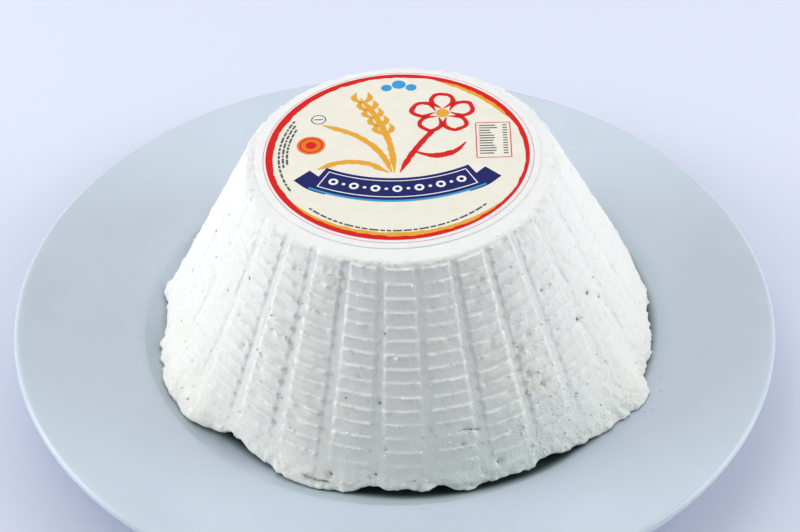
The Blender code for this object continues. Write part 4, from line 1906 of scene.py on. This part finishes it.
@dataclass(frozen=True)
class CurdCrumbs:
    """Loose crumbs of curd, on the plate about the foot and stuck to the side, and tan caps.

    Each scattered spot is an azimuth in degrees and how many millimetres it is from the foot.
    """

    curd: MouldedCurd
    rings: int = 4
    spokes: int = 7
    least_stain: float = 0.2
    fleck_count: int = 420
    spots: tuple[tuple[float, float], ...] = (
        (-82, 9.0), (-76, 6.0), (-73, 5.0), (58, 4.0), (64, 3.0), (140, 6.0), (205, 4.0),
    )
    more_spots: int = 9

    def unit(self) -> Array:
        """A ball of radius 1 as rings of points, poles left out."""
        polar = np.linspace(0.0, math.pi, self.rings + 2)[1:-1, None]
        angle = np.linspace(0.0, math.tau, self.spokes, endpoint=False)
        level = np.sin(polar)
        parts = np.broadcast_arrays(level * np.cos(angle), level * np.sin(angle), np.cos(polar))
        return np.stack(parts, axis=-1)

    def crumb(self, centre: Array, size: float, random: np.random.Generator) -> Shell:
        """One lumpy crumb: a ball with uneven radii, stretched and turned at random."""
        shape = self.unit() * random.uniform(0.7, 1.25, (self.rings, self.spokes, 1))
        shape = shape * random.uniform(0.65, 1.25, 3) * size
        return tube(shape @ turn_matrix(random.uniform(0.0, math.tau, 3)).T + centre)

    def on_plate(self, random: np.random.Generator) -> list[Shell]:
        """Crumbs that fell on the plate, near the foot and mostly at the left and right front.

        Args:
            random: Random numbers.

        Returns:
            The crumbs.
        """
        crumbs = []
        more = [(random.uniform(0, 360), random.uniform(1.5, 7.0)) for _ in range(self.more_spots)]
        for azimuth, away in [*self.spots, *more]:
            foot = self.curd.side(np.array(float(azimuth)), np.array(0.0))
            reach = math.hypot(foot[0], foot[1])
            for _ in range(random.integers(1, 3)):
                place = foot * (1.0 + (away * MM + random.normal(0.0, 1.2 * MM)) / reach)
                place = place + np.append(random.normal(0.0, 1.5 * MM, 2), 0.0)
                size = random.uniform(0.18, 0.42) * MM
                place[2] = self.curd.plate.glaze_height(math.hypot(place[0], place[1])) + 0.7 * size
                crumbs.append(self.crumb(place, size, random))
        return crumbs

    def stains(self, grid: Array, where: Array, random: np.random.Generator) -> list[Shell]:
        """Caps of tan matter at the bottom of the stained hollows, sunk by 0.6 of their size.

        Args:
            grid: The curd's upper grid of points.
            where: Azimuth and climb of each.
            random: Random numbers.

        Returns:
            The caps.
        """
        flat, angles = grid.reshape(-1, 3), where.reshape(-1, 2)
        caps = []
        for mark in self.curd.all_marks():
            if mark.stain > self.least_stain:
                turn = turn_between(angles[:, 0], mark.azimuth) * math.radians(1.0)
                rise = (angles[:, 1] - mark.climb) * self.curd.slant
                nearest = np.hypot(turn * self.curd.base_radius, rise).argmin()
                here = self.curd.side(*angles[nearest])
                outward = self.curd.side(*angles[nearest], 1.0 * MM) - here
                size = (0.6 + 0.55 * mark.stain) * mark.radius
                caps.append(self.crumb(flat[nearest] - outward * (0.6 * size / MM), size, random))
        return caps

    def on_side(self, grid: Array, where: Array, random: np.random.Generator) -> list[Shell]:
        """Flecks stuck to the side, most of them on the front's ridges and crumbly patches.

        The chance of one is the sum of a bell over each ridge and the crumbly patches, and
        beyond 56 degrees from the front it is about an eighth of that.

        Args:
            grid: The curd's upper grid of points.
            where: Azimuth and climb of each.
            random: Random numbers.

        Returns:
            The flecks.
        """
        azimuth, climb = where[..., 0], where[..., 1]
        on_side = (climb > 0.03) & (climb < 0.97)
        crest = sum(
            bell((climb - self.curd.ridge_line(k, azimuth[0])) * self.curd.slant / (0.5 * MM))
            for k in range(self.curd.ridge_count)
        )
        crumbly = self.curd.crumbly(grid)
        weight = (0.03 + crest + 1.2 * crumbly) * on_side
        weight = weight * (1.0 - 0.88 * ramp(36.0, 56.0, np.abs(turn_between(azimuth, 0.0))))
        weight = weight / weight.sum()
        chosen = random.choice(weight.size, self.fleck_count, replace=False, p=weight.ravel())
        places, angles = grid.reshape(-1, 3)[chosen], where.reshape(-1, 2)[chosen]
        outward = (self.curd.side(*angles.T, 1.0 * MM) - self.curd.side(*angles.T)) / MM
        more = 0.25 + 0.75 * np.clip(crumbly.ravel()[chosen], 0.0, 1.0)
        sizes = (0.2 + random.uniform(0.0, more)) * MM
        middles = places + 0.45 * sizes[:, None] * outward
        return [self.crumb(middle, size, random) for middle, size in zip(middles, sizes)]

    def build(self, grid: Array, where: Array, effects: Effects) -> None:
        """Make the three kinds.

        Args:
            grid: The curd's upper grid of points.
            where: Azimuth and climb of each.
            effects: The shared shader groups.
        """
        random = np.random.default_rng(Seed.CRUMBS)
        loose = self.curd.finish.build_fleck(effects)
        tan = self.curd.finish.build_tan(effects)
        for name, shells, finish in (
            ("curd_crumbs_on_plate", self.on_plate(random), loose),
            ("curd_flecks_on_side", self.on_side(grid, where, random), loose),
            ("curd_tan_spots", self.stains(grid, where, random), tan),
        ):
            make_piece(name, joined(shells), finish, Slot.CURD, sharp_angle=SOFT_EDGES)


# ------------------------ studio


@dataclass(frozen=True)
class Softbox:
    """A square soft light: direction it stands in, distance, size and power."""

    azimuth: float
    elevation: float
    distance: float
    size: float
    power: float


@dataclass(frozen=True)
class Studio:
    """Pale floor, soft lights and the camera."""

    elevation: float = 41.38
    distance: float = 0.8216
    aim: tuple[float, float, float] = (2.15 * MM, 9.2 * MM, 34.9 * MM)
    lens: float = 90.0
    sensor: float = 36.0
    floor_size: float = 6.0
    floor_gap: float = 0.5 * MM
    floor_colour: Colour = paint(224, 228, 245)
    sky_colour: Colour = paint(239, 249, 253)
    sky_strength: float = 0.3
    lights: tuple[Softbox, ...] = (
        Softbox(azimuth=-91, elevation=22, distance=1.3, size=0.8, power=9.9),
        Softbox(azimuth=-100, elevation=60, distance=1.3, size=0.9, power=3.0),
        Softbox(azimuth=91, elevation=22, distance=1.3, size=0.8, power=7.0),
        Softbox(azimuth=95, elevation=42, distance=1.3, size=0.8, power=2.9),
        Softbox(azimuth=180, elevation=55, distance=1.5, size=1.3, power=5.3),
    )

    def direction(self, azimuth: float, elevation: float) -> Vector:
        """Unit vector from the object towards an azimuth and elevation in degrees."""
        a, e = math.radians(azimuth), math.radians(elevation)
        return Vector((math.sin(a) * math.cos(e), -math.cos(a) * math.cos(e), math.sin(e)))

    def add_camera(self) -> None:
        """Look down at the front of the cheese."""
        camera = bpy.data.cameras.new("camera")
        camera.lens = self.lens
        camera.sensor_width = self.sensor
        thing = add_object("camera", camera)
        back = self.direction(0.0, self.elevation)
        thing.location = Vector(self.aim) + back * self.distance
        thing.rotation_euler = (math.radians(90.0 - self.elevation), 0.0, 0.0)
        bpy.context.scene.camera = thing

    def add_lights(self) -> None:
        """Hang the softboxes round the object and tint the surroundings."""
        for number, box in enumerate(self.lights):
            light = bpy.data.lights.new(f"softbox_{number}", "AREA")
            light.shape = "SQUARE"
            light.size = box.size
            light.energy = box.power
            thing = add_object(light.name, light)
            towards = self.direction(box.azimuth, box.elevation)
            thing.location = towards * box.distance
            thing.rotation_euler = towards.to_track_quat("Z", "Y").to_euler()
        world = bpy.data.worlds.new("studio")
        world.use_nodes = True
        background = world.node_tree.nodes["Background"]
        background.inputs["Color"].default_value = (*self.sky_colour, 1.0)
        background.inputs["Strength"].default_value = self.sky_strength
        bpy.context.scene.world = world

    def add_floor(self) -> None:
        """One large matt floor under everything."""
        half = self.floor_size / 2.0
        mesh = bpy.data.meshes.new("studio_floor")
        corners = [(-half, -half, 0), (half, -half, 0), (half, half, 0), (-half, half, 0)]
        mesh.from_pydata(corners, [], [(0, 1, 2, 3)])
        material = bpy.data.materials.new("floor_paper")
        material.use_nodes = True
        shader = material.node_tree.nodes["Principled BSDF"]
        shader.inputs["Base Color"].default_value = (*self.floor_colour, 1.0)
        shader.inputs["Roughness"].default_value = 0.9
        shader.inputs["Specular IOR Level"].default_value = 0.1
        mesh.materials.append(material)
        floor = add_object("studio_floor", mesh)
        floor.location.z = -self.floor_gap

    def build(self) -> None:
        """Set up the whole studio."""
        self.add_camera()
        self.add_lights()
        self.add_floor()
        bpy.context.scene.view_settings.view_transform = "Standard"


def main() -> None:
    """Build the pieces in order, from the plate up, then the studio round them."""
    logging.basicConfig(level=logging.INFO, format="%(name)s %(message)s")
    effects = Effects.build()
    plate = DinnerPlate.from_frame()
    plate.build(effects)
    label = RoundLabel.from_frame()
    curd = MouldedCurd(plate, label.centre, label.radius)
    grid, where = curd.build(effects)
    CurdCrumbs(curd).build(grid, where, effects)
    LabelPrint(label).build(effects)
    Studio().build()


if __name__ == "__main__":
    main()
